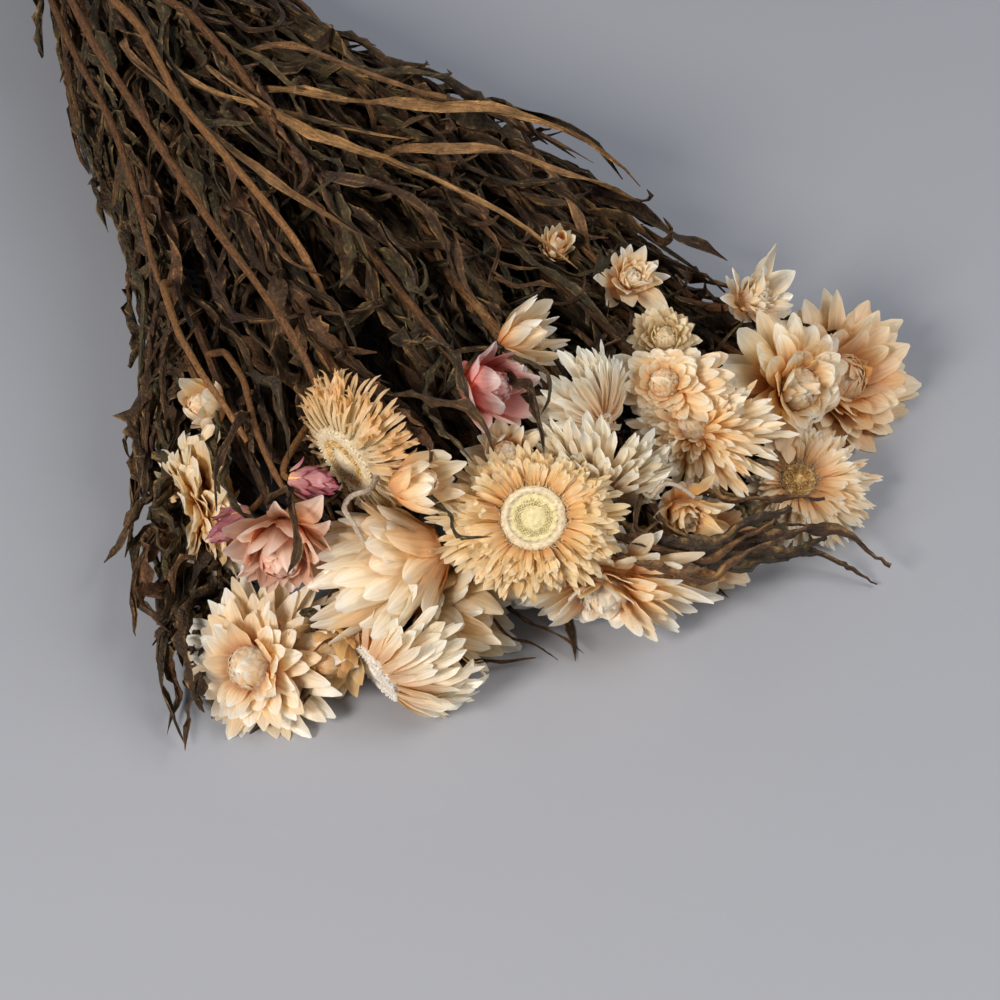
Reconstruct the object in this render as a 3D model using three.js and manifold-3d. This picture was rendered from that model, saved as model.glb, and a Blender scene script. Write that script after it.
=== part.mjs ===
// A bunch of dried strawflowers, tied round the stems with jute twine and laid down on its side.
//
// Millimetres, +Z up, resting on the plane z = 0. +X runs along the bunch, from the cut stem ends to the
// flowers, and the origin is under the middle of its bounding box. The table and the routes are written from
// the tie: x along the bunch, y across it and z above the table top. The group is moved at the end.
import * as THREE from "three";
import { mergeVertices } from "three/addons/utils/BufferGeometryUtils.js";
import Module from "manifold-3d";

const wasm = await Module();
wasm.setup();

// ---------------------------------------------------------------- driving dimensions
const GAP = 0.35; // between pieces that touch, so that no two solids overlap
const SLIVER = 0.02; // a join that leaves a triangle lower than this isn't kept
const STATION = 40; // between the rings of a stem
const TAIL = 2.5 * STATION; // length of stem left behind the tie, which lies midway between two rings
const STEM_SIDES = 5;
const THINNEST_STEM = 1.2; // radius of a stem with no head; a larger head has a stouter stem
const STEM_PER_HEAD = 0.045; // added stem radius for each millimetre of head radius
const SHOOT_RADIUS = 1.1; // of a side shoot
const NECK = 9; // straight stretch of stem under a head
const BEND_STEPS = 4; // rings in the bend that brings a stem up to its head
const BIND_RADIUS = 15; // the stems are drawn in to this radius at the tie
const TWINE = 2.6; // thickness of the jute twine
const TWINE_TURNS = 3;
const TURN_STEPS = 16; // of the coiled twine; its chords clear the stems
const COIL_RADIUS = (BIND_RADIUS + GAP + TWINE / 2) / Math.cos(Math.PI / TURN_STEPS);
const BIND_HEIGHT = COIL_RADIUS + TWINE / 2; // the twine itself lies on the table
const LEAVES_PER_STEM = 4;
const LEAF_LENGTH = [45, 80]; // shortest and longest
const LEAF_WIDTH = [6, 10];
const LEAF_THICKNESS = 0.8;
const LEAF_END = 0.25; // width of its ends, as a share of the middle
const LEAN = [0.1, 0.35]; // how far a leaf stands out from its stem, for each millimetre of its length
const CURL = [-0.25, 0.25]; // what that has changed by at its tip
const TWIST = [-1.5, 1.5]; // in radians, from its base to its tip
const FIRST_LEAF = 20; // the leaves are stripped off below this distance past the tie
const LAST_LEAF = 320;
const HIGHEST = 74; // above the table, for a leaf
const WIDEST = 108; // to either side of the middle

// Each flower head: the middle of the head, its radius, which way it faces (azimuth from +X towards +Y, then
// elevation, in degrees), how far it has opened and its colour. Heads with "rests" lie on the table.
// A bud with "shoot" grows on a side shoot from the stem of the head with that number.
const FLOWERS = [
  { x: 305, y: -76, z: 38, radius: 9, facing: [-85, 50], form: "cup", tint: "cream" },
  { x: 312, y: -83, z: 18, radius: 18.5, facing: [-100, 5], form: "open", tint: "cream", rests: true },
  { x: 344, y: -86, z: 36, radius: 6, facing: [-70, 0], form: "bud", tint: "magenta", shoot: 5 },
  { x: 353, y: -70, z: 50, radius: 6, facing: [35, 15], form: "bud", tint: "magenta", shoot: 6 },
  { x: 362, y: -82, z: 40, radius: 14, facing: [-30, 5], form: "cup", tint: "blush" },
  { x: 347, y: -55, z: 52, radius: 18, facing: [-70, -15], form: "swept", tint: "amber" },
  { x: 371, y: -50, z: 55, radius: 9.5, facing: [45, 25], form: "cup", tint: "cream" },
  { x: 386, y: -27, z: 44, radius: 19.5, facing: [-30, 60], form: "open", tint: "yellow" },
  { x: 370, y: -61, z: 31, radius: 19, facing: [5, -65], form: "dome", tint: "cream" },
  { x: 365, y: -96, z: 15, radius: 17, facing: [-50, 40], form: "dome", tint: "ivory", rests: true },
  { x: 382, y: -68, z: 15, radius: 17.5, facing: [-80, -15], form: "swept", tint: "ivory", rests: true },
  { x: 374, y: -43, z: 13, radius: 12, facing: [40, 5], form: "cup", tint: "peach", rests: true },
  { x: 393, y: -8, z: 16, radius: 18.5, facing: [-30, 0], form: "dome", tint: "cream", rests: true },
  { x: 388, y: 19, z: 10, radius: 12, facing: [-10, -25], form: "dome", tint: "peach", rests: true },
  { x: 357, y: -23, z: 62, radius: 11, facing: [0, 30], form: "cup", tint: "pink" },
  { x: 341, y: -4, z: 57, radius: 9.5, facing: [55, 25], form: "cup", tint: "ivory" },
  { x: 364, y: 1, z: 57, radius: 11, facing: [45, 25], form: "swept", tint: "ivory" },
  { x: 376, y: -3, z: 42, radius: 18, facing: [-50, -25], form: "swept", tint: "ivory" },
  { x: 300, y: 29, z: 44, radius: 6.5, facing: [-5, 60], form: "bud", tint: "cream" },
  { x: 324, y: 37, z: 47, radius: 10, facing: [0, 50], form: "star", tint: "ivory" },
  { x: 346, y: 34, z: 44, radius: 8.5, facing: [-15, 60], form: "dome", tint: "straw" },
  { x: 337, y: 68, z: 37, radius: 11, facing: [30, 50], form: "star", tint: "ivory" },
  { x: 364, y: 30, z: 46, radius: 12.5, facing: [-30, -20], form: "dome", tint: "cream" },
  { x: 358, y: 62, z: 32, radius: 16.5, facing: [0, 15], form: "dome", tint: "ivory" },
  { x: 353, y: 94, z: 18, radius: 18, facing: [0, 50], form: "dome", tint: "peach", rests: true },
  { x: 370, y: 30, z: 36, radius: 15, facing: [-120, 65], form: "swept", tint: "amber" },
  { x: 380, y: 57, z: 20, radius: 16.5, facing: [-15, 60], form: "open", tint: "peach", rests: true },
  { x: 389, y: 17, z: 27, radius: 9, facing: [-5, 10], form: "star", tint: "peach" },
  { x: 363, y: -22, z: 44, radius: 9, facing: [-30, 55], form: "cup", tint: "ivory" },
  { x: 368, y: -79, z: 10, radius: 8, facing: [-45, -20], form: "cup", tint: "amber", rests: true },
];
const TINTS = {
  ivory: 0xf3e8d3, cream: 0xf0d5a6, peach: 0xe9b980, amber: 0xdca55e, yellow: 0xecd28c,
  straw: 0xdcc9a3, blush: 0xe3b49c, pink: 0xd99a92, magenta: 0xb0607a,
};
const STEM_BROWN = 0x66492f;
const JUTE = 0xb08f5f;

// Outline of each form of head from the neck to the crown, as [out from the axis, along the axis] in radii.
// Bracts close over a bud, stand up in a cup, lie flat in a star or a dome, and sweep back in seed.
const OUTLINES = {
  bud: [[0, -0.9], [0.4, -0.72], [0.62, -0.1], [0.5, 0.5], [0, 1]],
  cup: [[0, -0.6], [0.34, -0.52], [0.62, -0.1], [0.86, 0.42], [0.4, 0.5], [0, 0.58]],
  star: [[0, -0.42], [0.3, -0.34], [0.86, 0.06], [0.88, 0.2], [0.38, 0.3], [0, 0.5]],
  dome: [[0, -0.42], [0.32, -0.36], [0.84, -0.02], [0.86, 0.14], [0.5, 0.34], [0, 0.46]],
  open: [[0, -0.36], [0.34, -0.32], [0.84, -0.22], [0.86, -0.06], [0.42, 0.22], [0, 0.3]],
  swept: [[0, -0.46], [0.34, -0.44], [0.7, -0.62], [0.78, -0.46], [0.42, 0.2], [0, 0.34]],
};
const HEAD_SEGMENTS = 10;

// ---------------------------------------------------------------- small tools
const radians = THREE.MathUtils.degToRad;
const { clamp, lerp } = THREE.MathUtils;

/** A repeatable number from 0 to 1 for a pair of whole numbers. */
function chance(a, b) {
  const n = Math.sin(a * 127.1 + b * 311.7) * 43758.5453;
  return n - Math.floor(n);
}

/** A closed geometry as a manifold-3d solid. */
function solidOf(geometry) {
  const loose = geometry.index ? geometry.toNonIndexed() : geometry;
  const bare = new THREE.BufferGeometry().setAttribute("position", loose.getAttribute("position"));
  const merged = mergeVertices(bare, 1e-3);
  return new wasm.Manifold(
    new wasm.Mesh({
      numProp: 3,
      vertProperties: merged.attributes.position.array,
      triVerts: new Uint32Array(merged.index.array),
    }),
  );
}

/** A manifold-3d solid as a geometry. Where a cut has split it, only the largest piece is kept. */
function geometryOf(solid) {
  const [largest] = solid.decompose().sort((a, b) => b.volume() - a.volume());
  const mesh = largest.getMesh();
  return new THREE.BufferGeometry()
    .setAttribute("position", new THREE.BufferAttribute(new Float32Array(mesh.vertProperties), 3))
    .setIndex(new THREE.BufferAttribute(new Uint32Array(mesh.triVerts), 1));
}

/** Whether a join came out clean: in one piece, with no pocket closed off and no sliver of a triangle. */
function isClean(solid) {
  if (solid.decompose().length > 1) return false;
  const corners = geometryOf(solid).toNonIndexed().getAttribute("position");
  const triangle = new THREE.Triangle();
  for (let i = 0; i < corners.count; i += 3) {
    triangle.setFromAttributeAndIndices(corners, i, i + 1, i + 2);
    const { a, b, c } = triangle;
    const longest = Math.max(a.distanceTo(b), b.distanceTo(c), c.distanceTo(a));
    if (2 * triangle.getArea() < SLIVER * longest) return false;
  }
  return true;
}

function direction([azimuth, elevation]) {
  const flat = Math.cos(radians(elevation));
  return new THREE.Vector3(
    flat * Math.cos(radians(azimuth)),
    flat * Math.sin(radians(azimuth)),
    Math.sin(radians(elevation)),
  );
}

/** A round bar of several sides with a ring at each point of its route. */
function barGeometry(points, radius, sides = STEM_SIDES) {
  const corners = Array.from({ length: sides }, (_, i) => {
    const turn = (i / sides) * 2 * Math.PI;
    return new THREE.Vector2(Math.cos(turn), Math.sin(turn)).multiplyScalar(radius);
  });
  const route = new THREE.CatmullRomCurve3(points, false, "centripetal");
  route.getUtoTmapping = (u) => u; // rings fall on the points themselves
  const settings = { steps: points.length - 1, extrudePath: route, bevelEnabled: false };
  return new THREE.ExtrudeGeometry(new THREE.Shape(corners), settings);
}

// ---------------------------------------------------------------- flower heads
/** A head turned about its axis from the neck to the crown, in place. grow thickens it all round. */
function headGeometry(flower, grow = 0) {
  const outline = OUTLINES[flower.form].map(([out, along]) => {
    const fromAxis = out && out * flower.radius + grow;
    return new THREE.Vector2(fromAxis, along * flower.radius + Math.sign(along) * grow);
  });
  return new THREE.LatheGeometry(outline, HEAD_SEGMENTS)
    .applyQuaternion(new THREE.Quaternion().setFromUnitVectors(THREE.Object3D.DEFAULT_UP, flower.faces))
    .translate(...flower.middle);
}

FLOWERS.forEach((flower) => {
  flower.faces = direction(flower.facing);
  flower.middle = new THREE.Vector3(flower.x, flower.y, flower.z);
  if (flower.rests) {
    const placed = headGeometry(flower);
    placed.computeBoundingBox();
    flower.middle.z -= placed.boundingBox.min.z;
  }
  const neck = OUTLINES[flower.form][0][1] * flower.radius - GAP;
  flower.base = flower.middle.clone().addScaledVector(flower.faces, neck);
});

// ---------------------------------------------------------------- routes of the stems
const ROUNDS = 420; // of settling
const SETTLING_ONLY = 60; // last rounds, without straightening
const STRAIGHTENING = 0.12; // share of the way moved each round
const SPARE = 0.55; // room kept between two stems while they settle
const FLARE = 1.5; // how late along its length the bunch opens out
const SPLAY = 0.5; // how far the cut ends spread behind the tie, as a share of the tie's radius
const HEART = 0.55; // the part of a head's radius that other stems stay out of
const BOW = 10; // the most that two stems' bows differ, halfway along
const NEAR_TIE = 0.6 * STATION; // rings this near the tie stay inside it
const FAR_SWELL = 0.0007; // the far side of the bunch swells with the square of the distance from the tie
const TOUCHING = 0.05; // routes closer than this are parted straight up
const BUNCH_HALF_WIDTH = 110;
const BUNCH_HALF_HEIGHT = 34;

/** The first guess at a stem: from its cut end through the tie, along the bunch and up into the head. */
function firstRoute({ base, faces }, number) {
  const across = clamp(base.y / BUNCH_HALF_WIDTH, -1, 1) * BIND_RADIUS;
  const up = clamp(base.z / BUNCH_HALF_HEIGHT - 1, -1, 1) * BIND_RADIUS;
  const forwards = new THREE.Vector3(1, 0, 0);
  const approach = base.clone().addScaledVector(faces, -2 * NECK).addScaledVector(forwards, -2 * NECK);
  const points = [];
  for (let x = -TAIL; x < approach.x - STATION / 2; x += STATION) {
    const share = Math.max(x / approach.x, 0) ** FLARE;
    const spread = 1 + SPLAY * Math.max(-x / TAIL, 0);
    const bow = Math.sin(share * Math.PI) * BOW * (chance(number, 3) - 0.5);
    const y = lerp(across * spread, approach.y, share) + bow;
    points.push(new THREE.Vector3(x, y, lerp(BIND_HEIGHT + up * spread, approach.z, share)));
  }
  const run = approach.clone().sub(points.at(-1)).setLength(NECK);
  const bend = new THREE.CubicBezierCurve3(
    approach,
    approach.clone().add(run),
    base.clone().addScaledVector(faces, -NECK),
    base,
  );
  return points.concat(bend.getPoints(BEND_STEPS));
}

/** A side shoot: leaves its parent stem some way below the head and bends up into the bud. */
function shootRoute({ base, faces }, parent) {
  const root = parent.points.at(-BEND_STEPS - 1);
  const onward = parent.points.at(-BEND_STEPS).clone().sub(root).setLength(NECK);
  const bend = new THREE.CubicBezierCurve3(
    root.clone(),
    root.clone().add(onward),
    base.clone().addScaledVector(faces, -NECK),
    base,
  );
  return bend.getPoints(BEND_STEPS);
}

const lineA = new THREE.Line3();
const lineB = new THREE.Line3();
const nearA = new THREE.Vector3();
const nearB = new THREE.Vector3();
const push = new THREE.Vector3();

/** Moves the two ends of segment i of a stem, so that the point a share of the way along it moves by "by". */
function nudge({ points, pinned }, i, share, by) {
  if (i < pinned) points[i].addScaledVector(by, 1 - share);
  if (i + 1 < pinned) points[i + 1].addScaledVector(by, share);
}

/** Draws each free point towards the line between its neighbours, keeping its place along the bunch. */
function straighten({ points, pinned }) {
  for (let i = 1; i < pinned; i++) {
    nearA.addVectors(points[i - 1], points[i + 1]).multiplyScalar(0.5).setX(points[i].x);
    points[i].lerp(nearA, STRAIGHTENING);
  }
}

/** Pushes two stems apart wherever they are closer than their thickness allows. */
function separate(a, b) {
  const room = a.radius + b.radius + SPARE;
  for (let i = 0; i + 1 < a.points.length; i++) {
    lineA.start = a.points[i];
    lineA.end = a.points[i + 1];
    for (let j = 0; j + 1 < b.points.length; j++) {
      lineB.start = b.points[j];
      lineB.end = b.points[j + 1];
      if (lineB.start.x > lineA.end.x + room || lineB.end.x < lineA.start.x - room) continue;
      const distance = Math.sqrt(lineA.distanceSqToLine3(lineB, nearA, nearB));
      if (distance >= room) continue;
      push.subVectors(nearA, nearB);
      if (distance < TOUCHING) push.set(0, a.number - b.number, 1);
      push.setLength((room - distance) * 0.5);
      nudge(a, i, lineA.closestPointToPointParameter(nearA, true), push);
      nudge(b, j, lineB.closestPointToPointParameter(nearB, true), push.negate());
    }
  }
}

/** Keeps a stem out of the hearts of the other heads, inside the tie and the far side, and above the table. */
function confine(stem) {
  for (let i = 0; i + 1 < stem.points.length; i++) {
    lineA.start = stem.points[i];
    lineA.end = stem.points[i + 1];
    FLOWERS.forEach((flower, number) => {
      if (number === stem.number || flower.shoot - 1 === stem.number) return;
      lineA.closestPointToPoint(flower.middle, true, nearA);
      const room = flower.radius * HEART + stem.radius;
      push.subVectors(nearA, flower.middle);
      if (push.lengthSq() >= room * room) return;
      push.setLength((room - push.length()) * 0.5);
      nudge(stem, i, lineA.closestPointToPointParameter(nearA, true), push);
    });
  }
  stem.points.slice(0, stem.pinned).forEach((p) => {
    if (Math.abs(p.x) < NEAR_TIE) {
      push.set(0, p.y, p.z - BIND_HEIGHT).clampLength(0, BIND_RADIUS - stem.radius);
      p.set(p.x, push.y, BIND_HEIGHT + push.z);
    }
    if (p.x > 0) p.y = Math.min(p.y, BIND_RADIUS + FAR_SWELL * p.x ** 2);
  });
  stem.points.slice(0, -1).forEach((p) => {
    p.z = Math.max(p.z, stem.radius + GAP);
  });
}

/** Every main stem's settled route: overlapping stems are pushed apart a little at a time. */
function settledStems() {
  const stems = FLOWERS.map((flower, number) => {
    const points = firstRoute(flower, number);
    const radius = THINNEST_STEM + STEM_PER_HEAD * flower.radius;
    return { number, radius, points, pinned: points.length - 2 };
  }).filter(({ number }) => !FLOWERS[number].shoot);
  for (let round = 0; round < ROUNDS; round++) {
    if (round < ROUNDS - SETTLING_ONLY) stems.forEach(straighten);
    stems.forEach((a, i) => stems.slice(i + 1).forEach((b) => separate(a, b)));
    stems.forEach(confine);
  }
  return stems;
}

// ---------------------------------------------------------------- leaves
const LEAF_STEPS = 4;
const TRIES = 40; // places tried for a leaf before it is left out

/** A shrivelled leaf as a thin strip that tapers, leans out of its stem, curls over and twists. */
function leafGeometry({ root, along, out, length, width, lean, curl, twist }, grow = 0) {
  const side = new THREE.Vector3().crossVectors(out, along);
  const strip = new THREE.BoxGeometry(1, 1, 1, LEAF_STEPS, 1, 1).translate(0.5, 0, 0);
  const position = strip.getAttribute("position");
  const p = new THREE.Vector3();
  for (let i = 0; i < position.count; i++) {
    const s = position.getX(i);
    const taper = Math.max(LEAF_END, Math.sin(Math.PI * s));
    const across = position.getY(i) * (width * taper + 2 * grow);
    const thick = position.getZ(i) * (LEAF_THICKNESS + 2 * grow);
    const turn = twist * s;
    p.copy(root).addScaledVector(along, length * s);
    p.addScaledVector(out, length * s * (lean + curl * s));
    p.addScaledVector(side, across * Math.cos(turn) - thick * Math.sin(turn));
    p.addScaledVector(out, across * Math.sin(turn) + thick * Math.cos(turn));
    position.setXYZ(i, p.x, p.y, p.z);
  }
  return strip;
}

/** One place and shape to try for leaf n of a stem. */
function leafTry({ points, number }, n, attempt) {
  const luck = (kind) => chance(number * 31 + n * 7 + 1, attempt * 13 + kind);
  const x = lerp(FIRST_LEAF, LAST_LEAF, (n + luck(1)) / LEAVES_PER_STEM);
  const i = points.findIndex((p) => p.x > Math.min(x, points.at(-BEND_STEPS - 2).x));
  const along = points[i].clone().sub(points[i - 1]);
  const root = points[i - 1].clone().addScaledVector(along, luck(2));
  const out = new THREE.Vector3(0, 1, 0).applyAxisAngle(along.normalize(), luck(3) * 2 * Math.PI);
  out.addScaledVector(along, -out.dot(along)).normalize();
  return {
    root, along, out,
    length: lerp(...LEAF_LENGTH, luck(4)),
    width: lerp(...LEAF_WIDTH, luck(5)),
    lean: lerp(...LEAN, luck(6)),
    curl: lerp(...CURL, luck(7)),
    twist: lerp(...TWIST, luck(8)),
  };
}

// ---------------------------------------------------------------- twine
const PITCH = TWINE + GAP;
const TWINE_SIDES = 5;
const KNOT = [1.65 * PITCH, 1.5 * TWINE, 1.2 * TWINE]; // half its length, width and height, over the turns
const TWINE_END = [[0, 0, 0], [2, 5, 3.5], [3, 11, 3], [1, 17, -1.5], [-3, 22, -9]]; // from the knot

/** Three turns of twine side by side, with a knot on top and its two short ends. */
function twineSolid() {
  const onTop = new THREE.Vector3(0, 0, BIND_HEIGHT + COIL_RADIUS);
  const coil = Array.from({ length: TWINE_TURNS * TURN_STEPS + 1 }, (_, i) => {
    const turn = (i / TURN_STEPS) * 2 * Math.PI;
    const x = (i / TURN_STEPS - TWINE_TURNS / 2) * PITCH;
    return new THREE.Vector3(x, COIL_RADIUS * Math.sin(turn), BIND_HEIGHT + COIL_RADIUS * Math.cos(turn));
  });
  const knot = new THREE.SphereGeometry(1, 10, 8)
    .scale(...KNOT)
    .translate(onTop.x, onTop.y, onTop.z + TWINE);
  const ends = [new THREE.Vector3(1, 1, 1), new THREE.Vector3(-1, -1, 0.9)].map((side) =>
    TWINE_END.map((point) => new THREE.Vector3(...point).multiply(side).add(onTop)));
  return [coil, ...ends]
    .map((points) => solidOf(barGeometry(points, TWINE / 2, TWINE_SIDES)))
    .reduce((whole, piece) => whole.add(piece), solidOf(knot));
}

// ---------------------------------------------------------------- the bunch
const bunch = new THREE.Group();

function addPiece(name, solid, color) {
  const material = new THREE.MeshStandardMaterial({ color, roughness: 0.9, metalness: 0 });
  const mesh = new THREE.Mesh(geometryOf(solid), material);
  mesh.name = name;
  bunch.add(mesh);
}

const label = (number) => String(number + 1).padStart(2, "0");
const stems = settledStems();
const bars = stems.flatMap((stem) => {
  const shoots = FLOWERS.filter(({ shoot }) => shoot - 1 === stem.number);
  return [
    { owner: stem, points: stem.points, radius: stem.radius },
    ...shoots.map((flower) => ({ owner: stem, points: shootRoute(flower, stem), radius: SHOOT_RADIUS })),
  ];
});

const heads = [];
FLOWERS.forEach((flower) => {
  let head = solidOf(headGeometry(flower));
  bars.forEach(({ points, radius }) => {
    head = head.subtract(solidOf(barGeometry(points, radius + GAP)));
  });
  heads.forEach((earlier) => {
    head = head.subtract(earlier.grown);
  });
  heads.push({ solid: head, grown: solidOf(headGeometry(flower, GAP)) });
});
heads.forEach(({ solid }, number) => {
  addPiece(`flower_head_${label(number)}`, solid, TINTS[FLOWERS[number].tint]);
});

const twine = twineSolid();
addPiece("twine", twine, JUTE);

stems.forEach((stem) => {
  stem.solid = bars
    .filter(({ owner }) => owner === stem)
    .map(({ points, radius }) => solidOf(barGeometry(points, radius)))
    .reduce((whole, piece) => whole.add(piece));
});

/** Adds a leaf to a stem if it stays clear of every other piece, of the table and of the bunch's outline. */
function leafFits(stem, leaf) {
  const grown = solidOf(leafGeometry(leaf, GAP));
  const { min, max } = grown.boundingBox();
  if (min[2] < 0 || max[2] > HIGHEST || min[1] < -WIDEST || max[1] > WIDEST) return false;
  const others = [twine, ...heads.map(({ solid }) => solid)];
  stems.forEach(({ solid, number }) => number !== stem.number && others.push(solid));
  if (others.some((other) => !grown.intersect(other).isEmpty())) return false;
  const joined = stem.solid.add(solidOf(leafGeometry(leaf)));
  if (!isClean(joined)) return false;
  stem.solid = joined;
  return true;
}

stems.forEach((stem, i) => {
  for (let n = 0; n < LEAVES_PER_STEM; n++) {
    let attempt = 0;
    while (attempt < TRIES && !leafFits(stem, leafTry(stem, n, attempt))) attempt++;
  }
  addPiece(`leafy_stem_${label(i)}`, stem.solid, STEM_BROWN);
});

const box = new THREE.Box3().setFromObject(bunch);
const middle = box.getCenter(new THREE.Vector3());
bunch.children.forEach((mesh) => mesh.geometry.translate(-middle.x, -middle.y, -box.min.z));

export default bunch;
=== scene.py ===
import bpy
import numpy as np
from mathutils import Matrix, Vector


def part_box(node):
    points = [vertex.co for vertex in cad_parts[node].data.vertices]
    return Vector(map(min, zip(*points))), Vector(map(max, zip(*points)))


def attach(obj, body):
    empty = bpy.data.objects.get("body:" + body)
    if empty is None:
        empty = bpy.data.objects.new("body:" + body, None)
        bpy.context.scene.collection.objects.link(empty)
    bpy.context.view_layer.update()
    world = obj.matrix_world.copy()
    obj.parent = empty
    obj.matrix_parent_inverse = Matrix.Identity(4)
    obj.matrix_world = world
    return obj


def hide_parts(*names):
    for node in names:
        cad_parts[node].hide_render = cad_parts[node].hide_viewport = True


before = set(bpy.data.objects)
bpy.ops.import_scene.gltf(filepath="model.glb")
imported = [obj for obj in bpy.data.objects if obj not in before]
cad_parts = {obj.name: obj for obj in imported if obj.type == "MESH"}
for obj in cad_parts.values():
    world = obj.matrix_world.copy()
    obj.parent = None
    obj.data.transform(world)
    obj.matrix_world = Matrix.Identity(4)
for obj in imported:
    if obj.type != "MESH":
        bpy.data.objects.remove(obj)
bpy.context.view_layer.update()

# ---------------------------------------------------------------- table, camera and light
# A wide board faced with pale blue-grey laminate, which is satin and has no pattern. A large soft light stands low
# on the near side and a weaker one higher on the far side. The camera looks down at the flower end from beside it.
MM = 0.001
twine_low, twine_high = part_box("twine")
tie = np.array([(twine_low.x + twine_high.x) / 2, (twine_low.y + twine_high.y) / 2, 0.0])


def placed(points):
    """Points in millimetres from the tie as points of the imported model's frame, in metres."""
    return tie + MM * np.asarray(points, float)


def heading(bearing, elevation):
    """The unit vector at a bearing from +X towards +Y and an elevation above the table, both in degrees."""
    bearing, elevation = np.radians(bearing), np.radians(elevation)
    return np.array([np.cos(elevation) * np.cos(bearing), np.cos(elevation) * np.sin(bearing),
                     np.sin(elevation)])


def linear(colour):
    """An sRGB hex colour as linear red, green, blue and alpha: each channel c is ((c + 0.055) / 1.055) ** 2.4."""
    channels = np.array([int(colour[i:i + 2], 16) for i in (0, 2, 4)]) / 255
    low, high = channels / 12.92, ((channels + 0.055) / 1.055) ** 2.4
    return (*np.where(channels < 0.04045, low, high).tolist(), 1.0)


def add(material, kind, values=None, links=None, stops=(), **settings):
    """Adds one node: settings are its own, values and links go to its inputs, and stops are a ramp's colours."""
    node = material.node_tree.nodes.new("ShaderNode" + kind)
    for name, value in settings.items():
        setattr(node, name, value)
    for socket, value in (values or {}).items():
        node.inputs[socket].default_value = value
    for socket, source in (links or {}).items():
        material.node_tree.links.new(source, node.inputs[socket])
    for i, (place, colour) in enumerate(stops):
        element = node.color_ramp.elements[i] if i < 2 else node.color_ramp.elements.new(place)
        element.position = place
        element.color = linear(colour)
    return node


def new_material(name):
    """An empty node material."""
    material = bpy.data.materials.new(name)
    material.use_nodes = True
    material.node_tree.nodes.clear()
    return material


FLOOR_HALF = 3.0
FLOOR_DROP = 0.0002
floor_corners = [(x * FLOOR_HALF, y * FLOOR_HALF, -FLOOR_DROP) for x,
                 y in ((-1, -1), (1, -1), (1, 1), (-1, 1))]
floor_mesh = bpy.data.meshes.new("table_top")
floor_mesh.from_pydata(floor_corners, [], [(0, 1, 2, 3)])
laminate = new_material("pale satin laminate")
shader = add(laminate, "BsdfPrincipled", {"Base Color": linear("8a8d94"), "Roughness": 0.55})
add(laminate, "OutputMaterial", links={"Surface": shader.outputs[0]})
floor_mesh.materials.append(laminate)
floor = bpy.data.objects.new("table_top", floor_mesh)
bpy.context.scene.collection.objects.link(floor)

VIEW_TARGET = (337.3, -9.0, 0.0)
VIEW_DISTANCE = 620.0
VIEW_BEARING = -29.54
VIEW_ELEVATION = 45.0
FIELD_OF_VIEW = 24.0
target = placed(VIEW_TARGET)
camera_data = bpy.data.cameras.new("camera")
camera_data.sensor_width = 36.0
camera_data.lens = camera_data.sensor_width / 2 / np.tan(np.radians(FIELD_OF_VIEW / 2))
camera_data.clip_start = 0.05
camera = bpy.data.objects.new("camera", camera_data)
camera.location = target + MM * VIEW_DISTANCE * heading(VIEW_BEARING, VIEW_ELEVATION)
camera.rotation_euler = Vector(-heading(VIEW_BEARING, VIEW_ELEVATION)).to_track_quat("-Z", "Y").to_euler()
bpy.context.scene.collection.objects.link(camera)
bpy.context.scene.camera = camera

LIGHTS = {  # bearing and elevation from the flowers in degrees, distance and size in metres, watts, colour
    "near_softbox": (-68, 35, 1.4, 0.40, 26.0, "fff6ec"),
    "far_softbox": (50, 48, 1.4, 0.8, 15.0, "fffaf4"),
}
for name, (bearing, elevation, distance, size, power, colour) in LIGHTS.items():
    light_data = bpy.data.lights.new(name, "AREA")
    light_data.energy = power
    light_data.size = size
    light_data.color = linear(colour)[:3]
    light = bpy.data.objects.new(name, light_data)
    light.location = target + distance * heading(bearing, elevation)
    light.rotation_euler = Vector(-heading(bearing, elevation)).to_track_quat("-Z", "Y").to_euler()
    bpy.context.scene.collection.objects.link(light)
world = bpy.data.worlds.new("soft room light")
world.use_nodes = True
world.node_tree.nodes["Background"].inputs["Color"].default_value = linear("d4e0f2")
world.node_tree.nodes["Background"].inputs["Strength"].default_value = 0.35
bpy.context.scene.world = world
bpy.context.scene.view_settings.view_transform = "Standard"

# ---------------------------------------------------------------- twine
# Three-ply jute twine, 2.6 mm thick, wound three times round the stems and knotted on top, with two short ends.
# Each ply is a bar that winds round the twine's own line, and loose fibres stand out of it.
TWINE_RADIUS = 1.3
TWINE_PITCH = 2.95
TWINE_TURNS = 3
COIL_RADIUS = 16.976
COIL_HEIGHT = 18.276
PLY_LAY = 9.0
PLY_RADIUS = 0.68
PLY_OFFSET = 0.62


def unit(vectors):
    """Vectors divided by their lengths."""
    return vectors / np.maximum(np.linalg.norm(vectors, axis=-1, keepdims=True), 1e-9)


def evenly(line, spacing):
    """The line with its points set about this far apart."""
    reach = np.concatenate([[0], np.cumsum(np.linalg.norm(np.diff(line, axis=0), axis=1))])
    at = np.linspace(0, reach[-1], max(int(reach[-1] / spacing), 2) + 1)
    return np.stack([np.interp(at, reach, line[:, k]) for k in range(3)], 1)


def square_to(line):
    """Unit vectors along a line, and two square to it, the first as near as it can be to one fixed direction."""
    ahead = unit(np.gradient(line, axis=0))
    upright = np.eye(3)[np.abs(ahead).max(0).argmin()]
    side = unit(upright - ahead * (ahead @ upright)[:, None])
    return ahead, side, np.cross(ahead, side)


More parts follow.
